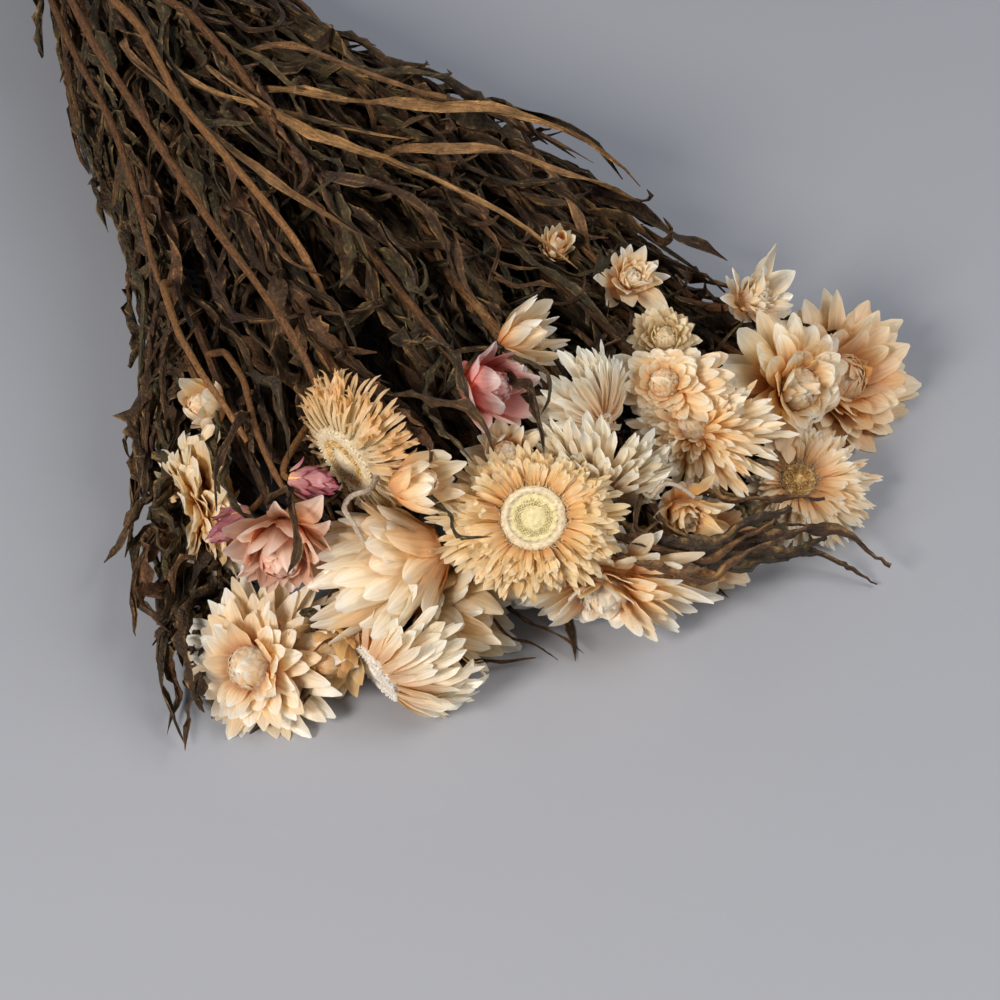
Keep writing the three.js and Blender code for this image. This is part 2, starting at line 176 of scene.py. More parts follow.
def rod(line, radius, sides, axes=None):
    """A closed bar along a line. Corner (i, j) is line i plus radius ij times cos(2 pi j / sides) of the side
    vector and sin of it of the other, and the first and last rings are closed by flat faces."""
    side, other = axes if axes is not None else square_to(line)[1:]
    rows = len(line)
    radius = np.broadcast_to(np.asarray(radius, float).reshape(len(np.atleast_1d(radius)), -1), (rows, sides))
    angle = np.arange(sides) / sides * 2 * np.pi
    out = side[:, None] * np.cos(angle)[:, None] + other[:, None] * np.sin(angle)[:, None]
    points = line[:, None] + out * radius[..., None]
    i, j = np.meshgrid(np.arange(rows - 1), np.arange(sides), indexing="ij")
    corners = np.stack([[i, j], [i, j + 1], [i + 1, j + 1], [i + 1, j]], -1).reshape(2, -1, 4)
    caps = np.stack([np.arange(sides)[::-1], (rows - 1) * sides + np.arange(sides)])
    uv = np.stack([corners[1] / sides, corners[0] / (rows - 1)], -1)
    cap_uv = np.repeat(np.array([[0.5, 0.0], [0.5, 1.0]])[:, None], sides, 1)
    return {"points": points.reshape(-1, 3), "faces": [corners[0] * sides + corners[1] % sides, caps],
            "uv": [uv, cap_uv]}


def finished(shape, finish, tone):
    """The same shape with a material number and a tone from 0 to 1 for each of its faces."""
    count = sum(len(f) for f in shape["faces"])
    return {**shape, "finish": np.full(count, finish), "tone": np.broadcast_to(tone, count)}


SHARPEST = 50.0
SOFT_LANDING = 1.2
CLEARANCE = 0.05


def make_piece(name, shapes, materials, node):
    """One mesh of several shapes, as a piece that rides on the body and stands for a node. What would lie lower
    than the table is pressed flat above it: where z is below the soft landing L, it becomes L * exp(z / L - 1)."""
    points = np.concatenate([s["points"] for s in shapes])
    pressed = SOFT_LANDING * np.exp(np.minimum(points[:, 2] / SOFT_LANDING, 1) - 1)
    points[:, 2] = np.where(points[:, 2] < SOFT_LANDING, pressed, points[:, 2]) + CLEARANCE
    starts = np.cumsum([0] + [len(s["points"]) for s in shapes])
    faces = [f + start for s, start in zip(shapes, starts) for f in s["faces"]]
    corners = np.concatenate([f.ravel() for f in faces])
    sizes = np.concatenate([np.full(len(f), f.shape[1]) for f in faces])
    mesh = bpy.data.meshes.new(name)
    mesh.vertices.add(len(points))
    mesh.vertices.foreach_set("co", placed(points).ravel().astype(np.float32))
    mesh.loops.add(len(corners))
    mesh.loops.foreach_set("vertex_index", corners.astype(np.int32))
    mesh.polygons.add(len(sizes))
    mesh.polygons.foreach_set("loop_start", (np.cumsum(sizes) - sizes).astype(np.int32))
    mesh.polygons.foreach_set("material_index",
                              np.concatenate([s["finish"] for s in shapes]).astype(np.int32))
    uv = np.concatenate([u.reshape(-1, 2) for s in shapes for u in s["uv"]])
    mesh.uv_layers.new(name="along").data.foreach_set("uv", uv.ravel().astype(np.float32))
    tone = np.concatenate([s["tone"] for s in shapes])
    mesh.attributes.new("tone", "FLOAT", "FACE").data.foreach_set("value", tone.astype(np.float32))
    mesh.update(calc_edges=True)
    mesh.polygons.foreach_set("use_smooth", np.ones(len(sizes), bool))
    mesh.set_sharp_from_angle(angle=np.radians(SHARPEST))
    for material in materials:
        mesh.materials.append(material)
    piece = bpy.data.objects.new(name, mesh)
    bpy.context.scene.collection.objects.link(piece)
    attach(piece, "root")
    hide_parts(node)


def plies(line):
    """Three bars wound round a line: ply k stands off it at the angle 2 pi (k / 3 + distance / lay)."""
    line = evenly(line, 0.8)
    _, side, other = square_to(line)
    reach = np.arange(len(line)) * 0.8
    turns = [2 * np.pi * (k / 3 + reach / PLY_LAY)[:, None] for k in range(3)]
    return [rod(line + PLY_OFFSET * (side * np.cos(t) + other * np.sin(t)), PLY_RADIUS, 7) for t in turns]


def jute_fibre():
    """Twisted bast fibre: dull golden brown, lighter where it stands proud and darker in the low streaks, with fine
    hairs along each ply. The streaks are partly its own colour and partly painted shade in the grooves.
    """
    material = new_material("three-ply jute")
    along = add(material, "UVMap", uv_map="along").outputs[0]
    hairs = add(material, "Mapping", {"Scale": (10, 160, 1)}, {"Vector": along}).outputs[0]
    noise = add(material, "TexNoise", {"Scale": 1.0, "Detail": 3.0}, {"Vector": hairs}).outputs["Fac"]
    # Colour and bump come from the same noise: the darker low streaks are partly painted shade.
    colour = add(material, "ValToRGB", links={0: noise},
                 stops=[(0.3, "7c5a33"), (0.75, "cdb083"), (0.5, "a98554")])
    bump = add(material, "Bump", {"Strength": 0.6, "Distance": 0.0003}, {"Height": noise}).outputs[0]
    shader = add(material, "BsdfPrincipled", {"Roughness": 0.85, "Specular IOR Level": 0.2},
                 {"Base Color": colour.outputs[0], "Normal": bump})
    add(material, "OutputMaterial", links={"Surface": shader.outputs[0]})
    return material


turn = np.linspace(0, TWINE_TURNS * 2 * np.pi, 48 * TWINE_TURNS + 1)
coil = np.stack([(turn / (2 * np.pi) - TWINE_TURNS / 2) * TWINE_PITCH, COIL_RADIUS * np.sin(turn),
                 COIL_HEIGHT + COIL_RADIUS * np.cos(turn)], 1)
on_top = np.array([0, 0, COIL_HEIGHT + COIL_RADIUS + 2 * TWINE_RADIUS])
loop = np.linspace(0, 2 * np.pi, 49)
knot = on_top + np.stack([1.1 * (np.sin(loop) + 2 * np.sin(2 * loop)),
                          0.8 * (np.cos(loop) - 2 * np.cos(2 * loop)),
                          -1.5 * np.sin(3 * loop)], 1)
TWINE_END = np.array([[0, 0, 0], [2, 5, 3.5], [3, 11, 3], [1, 17, -1.5], [-3, 22, -9]], float)
bend = np.linspace(0, 4, 25)
end = np.stack([np.interp(bend, np.arange(5), TWINE_END[:, k]) for k in range(3)], 1)
ends = [np.array([0, 0, on_top[2] - 2 * TWINE_RADIUS]) + end * way for way in ([1, 1, 1], [-1, -1, 0.9])]
luck = np.random.default_rng(7)
shapes = [finished(ply, 0, luck.uniform()) for line in (coil, knot, *ends) for ply in plies(line)]
for place in luck.integers(0, len(coil), 90):
    start = coil[place] + luck.normal(0, 0.5, 3)
    away = unit(luck.normal(0, 1, 3) + 1.2 * unit(coil[place] * [0, 1, 1] - [0, 0, COIL_HEIGHT]))
    hair = start + np.linspace(0, 1, 4)[:, None] * away * luck.uniform(1.5, 4.0)
    shapes.append(finished(rod(hair + luck.normal(0, 0.15, (4, 3)), 0.06, 3), 0, luck.uniform()))
make_piece("jute_tie", shapes, [jute_fibre()], "twine")

# ---------------------------------------------------------------- stems and leaves
# Ribbed stalks, 3 to 4 mm thick, drawn in at the tie, each with its narrow leaves still on. The leaves dried brown
# on the stem: 50 to 100 mm long, pointing towards the flowers, rolled along their edges, twisted and crinkled.
THINNEST_STEM = 1.1
STEM_PER_HEAD = 0.03
STEM_SPACING = 3.5
STEM_SIDES = 12
STEM_RIBS = 5
# Middle of each flower head, its radius, the bearing and elevation that it faces, its form and its tint.
HEADS = {
    1: ((305, -76, 38), 9, (-85, 50), "cup", "cream"),
    2: ((317, -85, 16), 19.5, (-95, 8), "open", "cream"),
    3: ((344, -86, 36), 6, (-70, 0), "bud", "magenta"),
    4: ((353, -70, 50), 6, (35, 15), "bud", "magenta"),
    5: ((362, -82, 40), 14, (-30, 5), "cup", "blush"),
    6: ((349, -57, 48), 17.5, (-75, -7), "swept", "amber"),
    7: ((371, -50, 55), 9.5, (45, 25), "cup", "cream"),
    8: ((385, -27, 44), 20, (-30, 55), "open", "yellow"),
    9: ((371, -60, 31), 21, (-105, -15), "cup", "cream"),
    10: ((367, -94, 11), 18, (-55, 42), "dome", "ivory"),
    11: ((382, -68, 11.1), 17.5, (-80, -15), "swept", "ivory"),
    12: ((378, -43, 13), 16, (30, 10), "cup", "peach"),
    13: ((391, -10, 17), 17.5, (-36, -6), "dome", "cream"),
    14: ((388, 16, 13), 14, (-15, 10), "dome", "peach"),
    15: ((357, -23, 62), 11, (25, 25), "cup", "pink"),
    16: ((341, -4, 57), 9.5, (55, 25), "cup", "ivory"),
    17: ((366, 3, 46), 10.5, (15, 0), "swept", "ivory"),
    18: ((378, -4, 36), 15, (-40, -30), "swept", "ivory"),
    19: ((300, 29, 44), 6.5, (-5, 60), "bud", "cream"),
    20: ((324, 37, 47), 10, (0, 50), "star", "ivory"),
    21: ((346, 34, 44), 8.5, (-15, 60), "dome", "straw"),
    22: ((337, 68, 37), 11, (30, 50), "star", "ivory"),
    23: ((362, 24, 46), 11, (-45, 50), "dome", "cream"),
    24: ((364, 64, 28), 14, (0, 35), "dome", "ivory"),
    25: ((352, 87, 10.5), 20.5, (25, 48), "dome", "peach"),
    26: ((372, 27, 37), 16, (-45, 60), "dome", "amber"),
    27: ((379, 56, 11), 15.5, (-25, 60), "open", "peach"),
    28: ((388, 14, 28), 10.5, (-5, 10), "star", "peach"),
    29: ((363, -22, 44), 9, (-30, 55), "cup", "ivory"),
    30: ((375, -77, 14), 12, (-50, 15), "cup", "amber"),
}
ON_SHOOTS = {3: 5, 4: 6}  # these two buds are on side shoots of these heads' stems
TRACE_STEP = 4.0
TRACE_REACH = 3.2


def under(number, depth):
    """The point this many radii behind the middle of a flower head."""
    middle, radius, facing, _, _ = HEADS[number]
    return np.array(middle) - depth * radius * heading(*facing)


def traced(node):
    """The centre line of a stem, followed from its cut end in short steps. Each step cuts the node's triangles
    with a plane across the stem and moves to the mean of the cut edges near it, weighted by their lengths."""
    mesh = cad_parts[node].data
    mesh.calc_loop_triangles()
    corners = np.empty(len(mesh.vertices) * 3)
    mesh.vertices.foreach_get("co", corners)
    index = np.empty(len(mesh.loop_triangles) * 3, int)
    mesh.loop_triangles.foreach_get("vertices", index)
    triangles = ((corners.reshape(-1, 3) - tie) / MM)[index].reshape(-1, 3, 3)
    every = triangles.reshape(-1, 3)
    line = [every[every[:, 0] < every[:, 0].min() + 2].mean(0)]
    ahead = np.array([1.0, 0.0, 0.0])
    while True:
        centre = line[-1] + TRACE_STEP * ahead
        height = (triangles - centre) @ ahead
        cut = (height.min(1) < 0) & (height.max(1) > 0)
        a, ha = triangles[cut], height[cut]
        b, hb = np.roll(a, -1, 1), np.roll(ha, -1, 1)
        crossing = (ha < 0) != (hb < 0)
        share = ha / np.where(crossing, ha - hb, 1)
        ends = (a + share[..., None] * (b - a))[crossing].reshape(-1, 2, 3)
        middle, length = ends.mean(1), np.linalg.norm(ends[:, 0] - ends[:, 1], axis=1)
        weight = length * (np.linalg.norm(middle - centre, axis=1) < TRACE_REACH)
        if weight.sum() == 0:
            return np.array(line)
        line.append((middle * weight[:, None]).sum(0) / weight.sum())
        ahead = unit(0.6 * ahead + 0.4 * unit(line[-1] - line[-2]))


def smoothed(line):
    """A line with each inner point moved halfway to the mean of its neighbours, three times over."""
    for _ in range(3):
        line = np.concatenate([line[:1], line[1:-1] / 2 + (line[:-2] + line[2:]) / 4, line[-1:]])
    return line


def shoot(parent, number):
    """A side shoot as a cubic curve: it leaves its parent along it and comes up under the bud."""
    root, onward, facing = parent[-9], unit(parent[-6] - parent[-9]), heading(*HEADS[number][2])
    end = under(number, 0.85)
    t = np.linspace(0, 1, 12)[:, None]
    return ((1 - t) ** 3 * root + 3 * t * (1 - t) ** 2 * (root + 9 * onward)
            + 3 * t ** 2 * (1 - t) * (end - 9 * facing) + t ** 3 * end)


def blades(middle, ahead, up, half, roll, thick, columns, ripple=0.0):
    """Thin closed blades. Column c, from -1 to 1, of each row lies half * sin(roll * c) / roll out along the row
    and half * (1 - cos(roll * c)) / roll up, so that the row is an arc. The two faces stand thick *
    sqrt(1 - c * c) to either side of that, and meet along the edges and the ends."""
    count, rows = half.shape
    c = np.linspace(-1, 1, columns + 1)
    across, up = np.cross(ahead, up)[:, :, None], up[:, :, None]
    angle = np.where(np.abs(roll) < 1e-3, 1e-3, roll)[..., None]
    out = (half[..., None] * np.sin(angle * c) / angle)[..., None]
    lift = (half[..., None] * (1 - np.cos(angle * c)) / angle)[..., None]
    normal = up * np.cos(angle * c)[..., None] - across * np.sin(angle * c)[..., None]
    inside = (np.arange(rows) % (rows - 1) > 0)[:, None]
    depth = (thick * inside * np.sqrt(1 - c * c))[..., None]
    ripples = np.broadcast_to(ripple, (count, rows, len(c)))[..., None]
    skin = middle[:, :, None] + across * out + up * lift + normal * ripples
    lower = (skin - normal * depth)[:, 1:-1, 1:-1]
    points = np.concatenate([(skin + normal * depth).reshape(count, -1, 3), lower.reshape(count, -1, 3)], 1)
    top = np.arange(rows * len(c)).reshape(rows, len(c))
    bottom = top.copy()
    bottom[1:-1, 1:-1] = top.size + np.arange(lower[0, ..., 0].size).reshape(rows - 2, columns - 1)
    i, j = np.meshgrid(np.arange(rows - 1), np.arange(columns), indexing="ij")
    corners = np.stack([[i, j], [i, j + 1], [i + 1, j + 1], [i + 1, j]], -1).reshape(2, -1, 4)
    quads = np.concatenate([top[tuple(corners)], bottom[tuple(corners)][:, ::-1]])
    uv = np.stack([corners[1] / columns, corners[0] / (rows - 1)], -1)
    starts = (np.arange(count) * points.shape[1])[:, None, None]
    return {"points": points.reshape(-1, 3), "faces": [(quads + starts).reshape(-1, 4)],
            "uv": [np.tile(np.concatenate([uv, uv[:, ::-1]]), (count, 1, 1))]}


def turned(vectors, axes, angle):
    """Unit vectors turned about unit axes square to them: v * cos(angle) + (axis x v) * sin(angle)."""
    return vectors * np.cos(angle)[..., None] + np.cross(axes, vectors) * np.sin(angle)[..., None]


LEAF_SPACING = 4.8
LEAF_ROWS = 19
LEAF_COLUMNS = 4
LEAF_FROM = 14.0  # past the tie; behind it the stems are stripped
LEAF_LENGTH = (40.0, 95.0)
LEAF_HALF_WIDTH = (1.1, 3.1)
LEAF_HALF_THICKNESS = 0.2
LEAF_GROUND = 2.0
FLOWERS_FROM = 338.0
CLEAR = 0.72
HIDING = 0.75
NECK = 130.0  # nearer to the tie than this the leaves lie close along the stems
LOW_LEAVES = {1: 10, 2: 24, 10: 24, 30: 12, 11: 6, 14: 6, 28: 6, 12: 6,
              9: 4}  # more of them, hanging on the near side
DENSE = (16, 17, 18, 19, 20, 21, 22, 23, 24, 25, 26, 27)  # far stems that carry more leaves
# How far the leafy part of the bunch reaches to each side and up: distance from the tie, then the reach.
NEAR_SIDE = np.array([(0, -15), (30, -26), (81, -42), (123, -45), (163, -49), (216, -60), (272, -81),
                      (333, -105), (400, -114)])
FAR_SIDE = np.array([(0, 14), (60, 12), (112, 16), (150, 22), (188, 36), (223, 56), (258, 75), (300, 82),
                     (354, 98), (400, 102)])
TOP_SIDE = np.array([(0, 33), (50, 39), (110, 47), (170, 57), (250, 65), (330, 60), (400, 44)])


def held_in(points, slack):
    """Points kept inside the bunch, whose cross-section is rounded: it is highest in the middle and low at its sides.
    A coordinate v that nears its limit m bends towards it and stays short of it: m - k * ln(1 + exp((m - v) / k))."""
    x, y, z = points[..., 0], points[..., 1], points[..., 2]
    near, far, top = (np.interp(x, side[:, 0], side[:, 1]) for side in (NEAR_SIDE, FAR_SIDE, TOP_SIDE))
    k = 3.0
    y = far + slack - k * np.logaddexp(0, (far + slack - y) / k)
    y = near - slack + k * np.logaddexp(0, (y - near + slack) / k)
    off_middle = np.clip(np.abs(2 * y - near - far) / (far - near), 0, 0.99)
    top = 8 + (top - 8) * (1 - off_middle ** 2.5) ** 0.5 + 0.7 * slack
    z = top - k * np.logaddexp(0, (top - z) / k)
    z = np.where(z < LEAF_GROUND, LEAF_GROUND * np.exp(np.minimum(z / LEAF_GROUND, 1) - 1), z)
    return np.stack([x, y, z], -1)


def clear_of_heads(points):
    """Points moved out of the flower heads: what is nearer to the middle of a head than CLEAR radii goes out to
    that distance, sideways where it was in front of the face."""
    for middle, radius, facing, _, _ in HEADS.values():
        facing = heading(*facing)
        off = points - middle
        inside = np.linalg.norm(off, axis=-1, keepdims=True) < CLEAR * radius
        level = off - facing * np.maximum(off @ facing, 0)[..., None]
        points = np.where(inside, middle + CLEAR * radius * unit(level + 1e-3), points)
    return points


def hides_a_head(middle):
    """Whether a leaf's midline passes before the face of a flower head or closely over it, nearer to the head's
    axis, or to the upright through its middle, than this share of its radius."""
    hides = np.zeros(len(middle), bool)
    for centre, radius, facing, _, _ in HEADS.values():
        for axis, reach in ((heading(*facing), 2.4), (np.array([0.0, 0.0, 1.0]), 2.0)):
            off = middle - centre
            along = off @ axis
            beside = np.linalg.norm(off - along[..., None] * axis, axis=-1)
            hides |= ((along > 0.1 * radius) & (along < reach * radius) & (beside < HIDING * radius)).any(1)
    return hides


def waves(luck, count, low, high, s):
    """Slow sine waves along s, one for each of count leaves, with low to high periods and any phase."""
    return np.sin(2 * np.pi * (s * luck.uniform(low, high, (count, 1)) + luck.uniform(0, 1, (count, 1))))


def leaf_blades(middle, outward, wide, tone, luck, crumpled=1.0):
    """Leaves on these midlines. Each starts with its face towards outward and turns about its midrib as it goes;
    its edges roll up into a channel, it narrows to both ends, and the edges are crinkled in short waves."""
    count = len(middle)
    s = np.linspace(0, 1, middle.shape[1])
    course = unit(np.gradient(middle, axis=1))
    facing = unit(outward - course * (outward * course).sum(-1, keepdims=True))
    facing = turned(facing, course,
                    luck.normal(0, 2.5, (count, 1)) * s + 0.8 * waves(luck, count, 0.8, 2.6, s))
    shape = (0.3 + 0.7 * np.sin(np.pi * s ** 0.85) ** 0.8) * np.clip((1 - s) / 0.12, 0.08, 1) ** 0.6
    uneven = 1 + 0.16 * waves(luck, count, 2, 5, s) + luck.normal(0, 0.07, (count, len(s)))
    half = wide[:, None] * shape * uneven
    roll = luck.choice([-1, 1, 1], (count, 1)) * luck.uniform(0.5, 1.5 + crumpled, (count, 1))
    roll = roll + 0.8 * waves(luck, count, 0.6, 2.4, s)
    c = np.linspace(-1, 1, LEAF_COLUMNS + 1)
    beat = s[:, None] * luck.uniform(3, 9, (count, 1, 1)) + luck.uniform(-0.4, 0.4, (count, 1, 1)) * c
    crinkle = np.sin(2 * np.pi * (beat + luck.uniform(0, 1, (count, 1, 1))))
    crinkle = crinkle + luck.normal(0, 0.5, (count, len(s), len(c)))
    depth = crumpled * luck.uniform(0.08, 0.36, (count, 1, 1)) * half[..., None]
    ripple = depth * np.abs(c) * crinkle - 0.2 * (c == 0)
    leaf = blades(middle, course, facing, half, roll, LEAF_HALF_THICKNESS, LEAF_COLUMNS, ripple)
    return finished(leaf, 1, np.repeat(tone, len(leaf["faces"][0]) // count))


def leaves_of(number, line, radius, luck):
    """Leaves up one stem. Each starts along the stem and leans out of it by an angle that fades towards its end,
    wanders in waves and hooks over at the tip. The last ones, below the flower, hang down."""
    reach = np.concatenate([[0], np.cumsum(np.linalg.norm(np.diff(line, axis=0), axis=1))])
    spacing = LEAF_SPACING * (0.7 if number in DENSE else 1.0)
    places = np.arange(reach[np.argmax(line[:, 0] > LEAF_FROM)], reach[-1] - 14, spacing)
    low = np.arange(len(places) + LOW_LEAVES.get(number, 0)) >= len(places)
    count = len(low)
    places = np.concatenate([places + luck.uniform(-4, 4, len(places)),
                             reach[-1] - luck.uniform(25, 130, low.sum())])
    root = np.stack([np.interp(places, reach, line[:, k]) for k in range(3)], 1)
    ahead = unit(np.stack([np.interp(places, reach, np.gradient(line[:, k])) for k in range(3)], 1))
    side = unit(np.cross(ahead, [0.0, 0.0, 1.0]))
    over = np.cross(side, ahead)
    s = np.linspace(0, 1, LEAF_ROWS + 1)
    below = (reach[-1] - places < 75) | low
    room = np.where(below, HEADS[number][0][0] + 4, FLOWERS_FROM + (50 - root[:, 2]) * 0.9) - root[:, 0]
    close = np.clip(1.25 - root[:, 0] / NECK, 0, 1)[:, None]
    length = luck.uniform(*LEAF_LENGTH, count) * (1 + 0.35 * close[:, 0])
    length = np.clip(length, 16, np.maximum(room * 1.1, 16)) * np.where(low, 0.55, 1)
    lean = luck.uniform(8, 36, (count, 1)) * (1 - s) ** 1.4
    lean = lean + luck.normal(0, 18, (count, 1)) * waves(luck, count, 0.7, 2.0, s)
    wild = np.where(low, 30, 14)[:, None]
    lean = lean + luck.normal(0, wild) * waves(luck, count, 2.0, 4.5, s)
    lean = lean + luck.normal(0, 75, (count, 1)) * s ** 4
    lean = np.radians(lean) * (1 - 0.65 * close)
    around = np.where(below, luck.normal(-np.pi / 2, 0.7, count), np.arange(count) * 2.4 + luck.uniform(0, 6))
    around = np.where(low, luck.normal(-0.3, 0.6, count),
                      around + np.where(below, 0.0, 0.8) * np.cos(around))[:, None]
    around = around + luck.normal(0, 1.1, (count, 1)) * s + 0.5 * waves(luck, count, 1.0, 3.0, s)
    outward = side[:, None] * np.cos(around)[..., None] + over[:, None] * np.sin(around)[..., None]
    course = ahead[:, None] * np.cos(lean)[..., None] + outward * np.sin(lean)[..., None]
    steps = course * (length / LEAF_ROWS)[:, None, None]
    middle = (root + radius * 0.6 * outward[:, 0])[:, None] + np.cumsum(steps, 1) - steps[:, :1]
    middle = held_in(clear_of_heads(middle), luck.exponential(1.3, (count, 1)))
    middle[:, 1:-1] = (middle[:, :-2] + middle[:, 2:]) / 4 + middle[:, 1:-1] / 2
    wide = luck.uniform(*LEAF_HALF_WIDTH, count) * (1 + 0.4 * close[:, 0])
    tone = luck.uniform(0, 0.9, count)
    seen = ~hides_a_head(middle)
    return leaf_blades(middle[seen], outward[seen], wide[seen], tone[seen], luck)


LOOSE_STALKS = [  # side shoots that lie on top of the leaves: radius and course
    (1.3, [(110, -36, 44), (163, -45, 52), (201, -49, 57), (231, -52, 60), (267, -55, 63), (299, -56, 65),
           (325, -55, 60),
           (343, -56, 40), (352, -58, 26)]),
    (1.4, [(100, -20, 46), (144, -20, 52), (169, -17, 57), (206, -18, 60), (236, -20, 57), (256, -22, 40),
           (266, -23, 26)]),
    (1.2, [(80, -32, 34), (118, -42, 42), (157, -49, 46), (197, -54, 50), (227, -60, 48), (248, -65, 40),
           (262, -66, 24)]),
    (1.1, [(262, -68, 44), (287, -74, 48), (306, -76, 50), (321, -76, 50), (330, -75, 46)]),
    (1.0, [(295, -65, 44), (311, -67, 48), (331, -73, 50), (342, -75, 50), (350, -75, 47), (350, -69, 38)]),
    (1.3, [(130, -30, 48), (165, -31, 55), (212, -39, 60), (254, -40, 64), (286, -38, 61), (304, -36, 42),
           (314, -36, 28)]),
]
LOOSE_LEAVES = [  # leaves on top of the bunch, along its edge or across flowers: half width, tone and course
    (1.7, 0.3, [(242, -65, 22), (253, -74, 16), (265, -79, 10), (279, -83, 8)]),
    (1.5, 0.6, [(284, -82, 12), (300, -90, 8), (314, -94, 5)]),
    (1.6, 0.2, [(320, -94, 14), (332, -103, 9), (345, -108, 5)]),
    (1.8, 0.5, [(326, -95, 14), (343, -105, 9), (360, -112, 5), (372, -113, 4)]),
    (1.5, 0.3, [(340, -96, 12), (351, -105, 8), (362, -113, 4)]),
    (1.6, 0.6, [(369, -75, 12), (376, -80, 5), (379, -89, 3), (378, -94, 3)]),
    (1.4, 0.4, [(364, -71, 20), (371, -77, 10), (384, -85, 4)]),
    (1.3, 0.2, [(374, -36, 14), (383, -30, 8), (394, -25, 3)]),
    (1.2, 0.6, [(366, -34, 14), (378, -30, 6), (391, -20, 5)]),
    (2.2, 0.3, [(182, 0, 50), (205, 9, 50), (220, 18, 50), (235, 31, 46)]),
    (1.8, 0.5, [(338, -37, 66), (349, -33, 72), (360, -30, 76), (368, -27, 74), (373, -29, 66)]),
    (1.4, 0.2, [(343, -43, 60), (354, -38, 68), (364, -33, 74), (370, -31, 70), (374, -34, 62)]),
    (1.4, 0.7, [(352, -40, 60), (361, -37, 67), (369, -36, 66), (374, -38, 60)]),
    (1.4, 0.3, [(350, -14, 68), (360, -13, 73), (368, -15, 70), (372, -19, 62)]),
    (1.5, 0.6, [(327, -73, 54), (341, -78, 52), (354, -84, 50)]),
    (1.9, 0.98, [(139, -27, 50), (173, -28, 57), (202, -26, 60), (224, -15, 64), (242, -5, 64),
                 (253, 8, 63)]),
    (2.0, 0.94, [(220, -18, 62), (242, -5, 64), (253, 8, 63), (263, 24, 60), (276, 44, 56), (288, 57, 48),
                 (292, 62, 38)]),
    (1.9, 0.96, [(190, -28, 58), (228, -19, 64), (255, -8, 65), (273, 6, 65), (290, 18, 63), (307, 26, 58)]),
    (1.9, 0.93, [(258, 2, 62), (281, 23, 61), (295, 33, 58), (303, 47, 50), (306, 55, 40)]),
    (2.0, 0.90, [(200, -8, 58), (226, 4, 60), (244, 22, 56), (258, 42, 48), (270, 54, 38)]),
    (1.8, 0.92, [(160, -40, 50), (196, -44, 58), (230, -42, 62), (262, -36, 64), (290, -26, 62)]),
    (1.5, 0.2, [(391, 8, 40), (392, 4, 40), (396, 1, 39), (399, 1, 39), (400, 5, 40), (398, 7, 41)]),
    (1.5, 0.4, [(380, -47, 52), (390, -51, 58), (396, -52, 60), (399, -50, 60), (400, -47, 60)]),
    (2.0, 0.2, [(379, -38, 20), (381, -34, 14), (383, -30, 8), (385, -27, 4), (388, -25, 3)]),
    (1.8, 0.7, [(384, -58, 14), (386, -52, 10), (387, -46, 6), (389, -37, 4), (394, -30, 3)]),
    (2.6, 0.4, [(375, -84, 26), (378, -83, 22), (379, -82, 14), (379, -86, 8), (377, -92, 4)]),
    (2.2, 0.2, [(380, -83, 14), (380, -83, 10), (380, -88, 6), (377, -94, 3), (380, -97, 3)]),
    (2.0, 0.3, [(325, -75, 44), (335, -81, 47), (343, -83, 47), (348, -83, 45), (349, -80, 40)]),
    (2.2, 0.5, [(312, -67, 48), (327, -68, 51), (338, -70, 51), (346, -73, 49), (349, -73, 44)]),
    (2.9, 0.1, [(321, -70, 44), (332, -74, 46), (342, -77, 46), (349, -78, 42)]),
    (1.6, 0.6, [(315, -64, 48), (329, -69, 50), (338, -75, 50), (347, -78, 47)]),
    (1.8, 0.85, [(307, -72, 40), (323, -77, 42), (332, -83, 42), (340, -85, 38)]),
    (1.6, 0.2, [(357, -75, 50), (368, -78, 53), (377, -81, 54), (383, -83, 52)]),
    (1.9, 0.7, [(340, -46, 56), (349, -43, 60), (361, -42, 62), (368, -39, 60)]),
    (1.9, 0.35, [(344, -35, 58), (357, -37, 61), (366, -38, 62), (371, -35, 58)]),
    (1.8, 0.6, [(368, -14, 62), (377, -17, 64), (385, -20, 64), (388, -20, 60)]),
    (2.0, 0.3, [(340, 84, 24), (346, 90, 20), (351, 98, 17), (349, 107, 12), (349, 115, 8)]),
]
# Leaves shrivelled to strings, stuck together: how many, their spread, radius and tone, and their course.
BUNDLES = [
    (3, 1.2, 1.3, 0.58, [(392, -4, 34), (399, 4, 32), (406, 14, 30), (408, 24, 32), (406, 37, 32)]),
    (3, 1.1, 1.3, 0.52, [(394, 3, 30), (400, 12, 26), (401, 25, 20), (401, 41, 15), (402, 50, 11)]),
    (2, 0.5, 1.0, 0.60, [(397, 13, 24), (401, 30, 19), (401, 41, 14), (402, 50, 10), (406, 57, 5),
                         (413, 60, 3)]),
    (2, 1.2, 1.1, 0.45, [(389, 27, 28), (394, 27, 28), (400, 27, 28), (403, 31, 30)]),
    (1, 0.6, 0.8, 0.50, [(393, 25, 32), (397, 29, 34), (400, 32, 36), (403, 37, 36)]),
]
BLEACHED_STALKS = [  # two weathered ends of stalks among the flowers
    (0.8, [(360, -55, 50), (365, -60, 52), (364, -64, 52), (365, -67, 50), (368, -66, 48), (373, -66, 46),
           (377, -64, 44)]),
    (0.75, [(390, 3, 40), (390, 4, 43), (390, 7, 44), (393, 9, 44), (396, 11, 42)]),
]
NEAR_EDGE = [(266, -75, 24), (285, -86, 18), (299, -92, 14), (314, -97, 12), (329, -103, 10), (340, -107, 8),
             (351, -111, 7),
             (364, -113, 5), (377, -112, 3)]
EDGE_LEAVES = 90


def at_even_places(line, rows):
    """The line as this many points, equally far apart."""
    reach = np.concatenate([[0], np.cumsum(np.linalg.norm(np.diff(line, axis=0), axis=1))])
    return np.stack([np.interp(np.linspace(0, reach[-1], rows), reach, line[:, k]) for k in range(3)], 1)


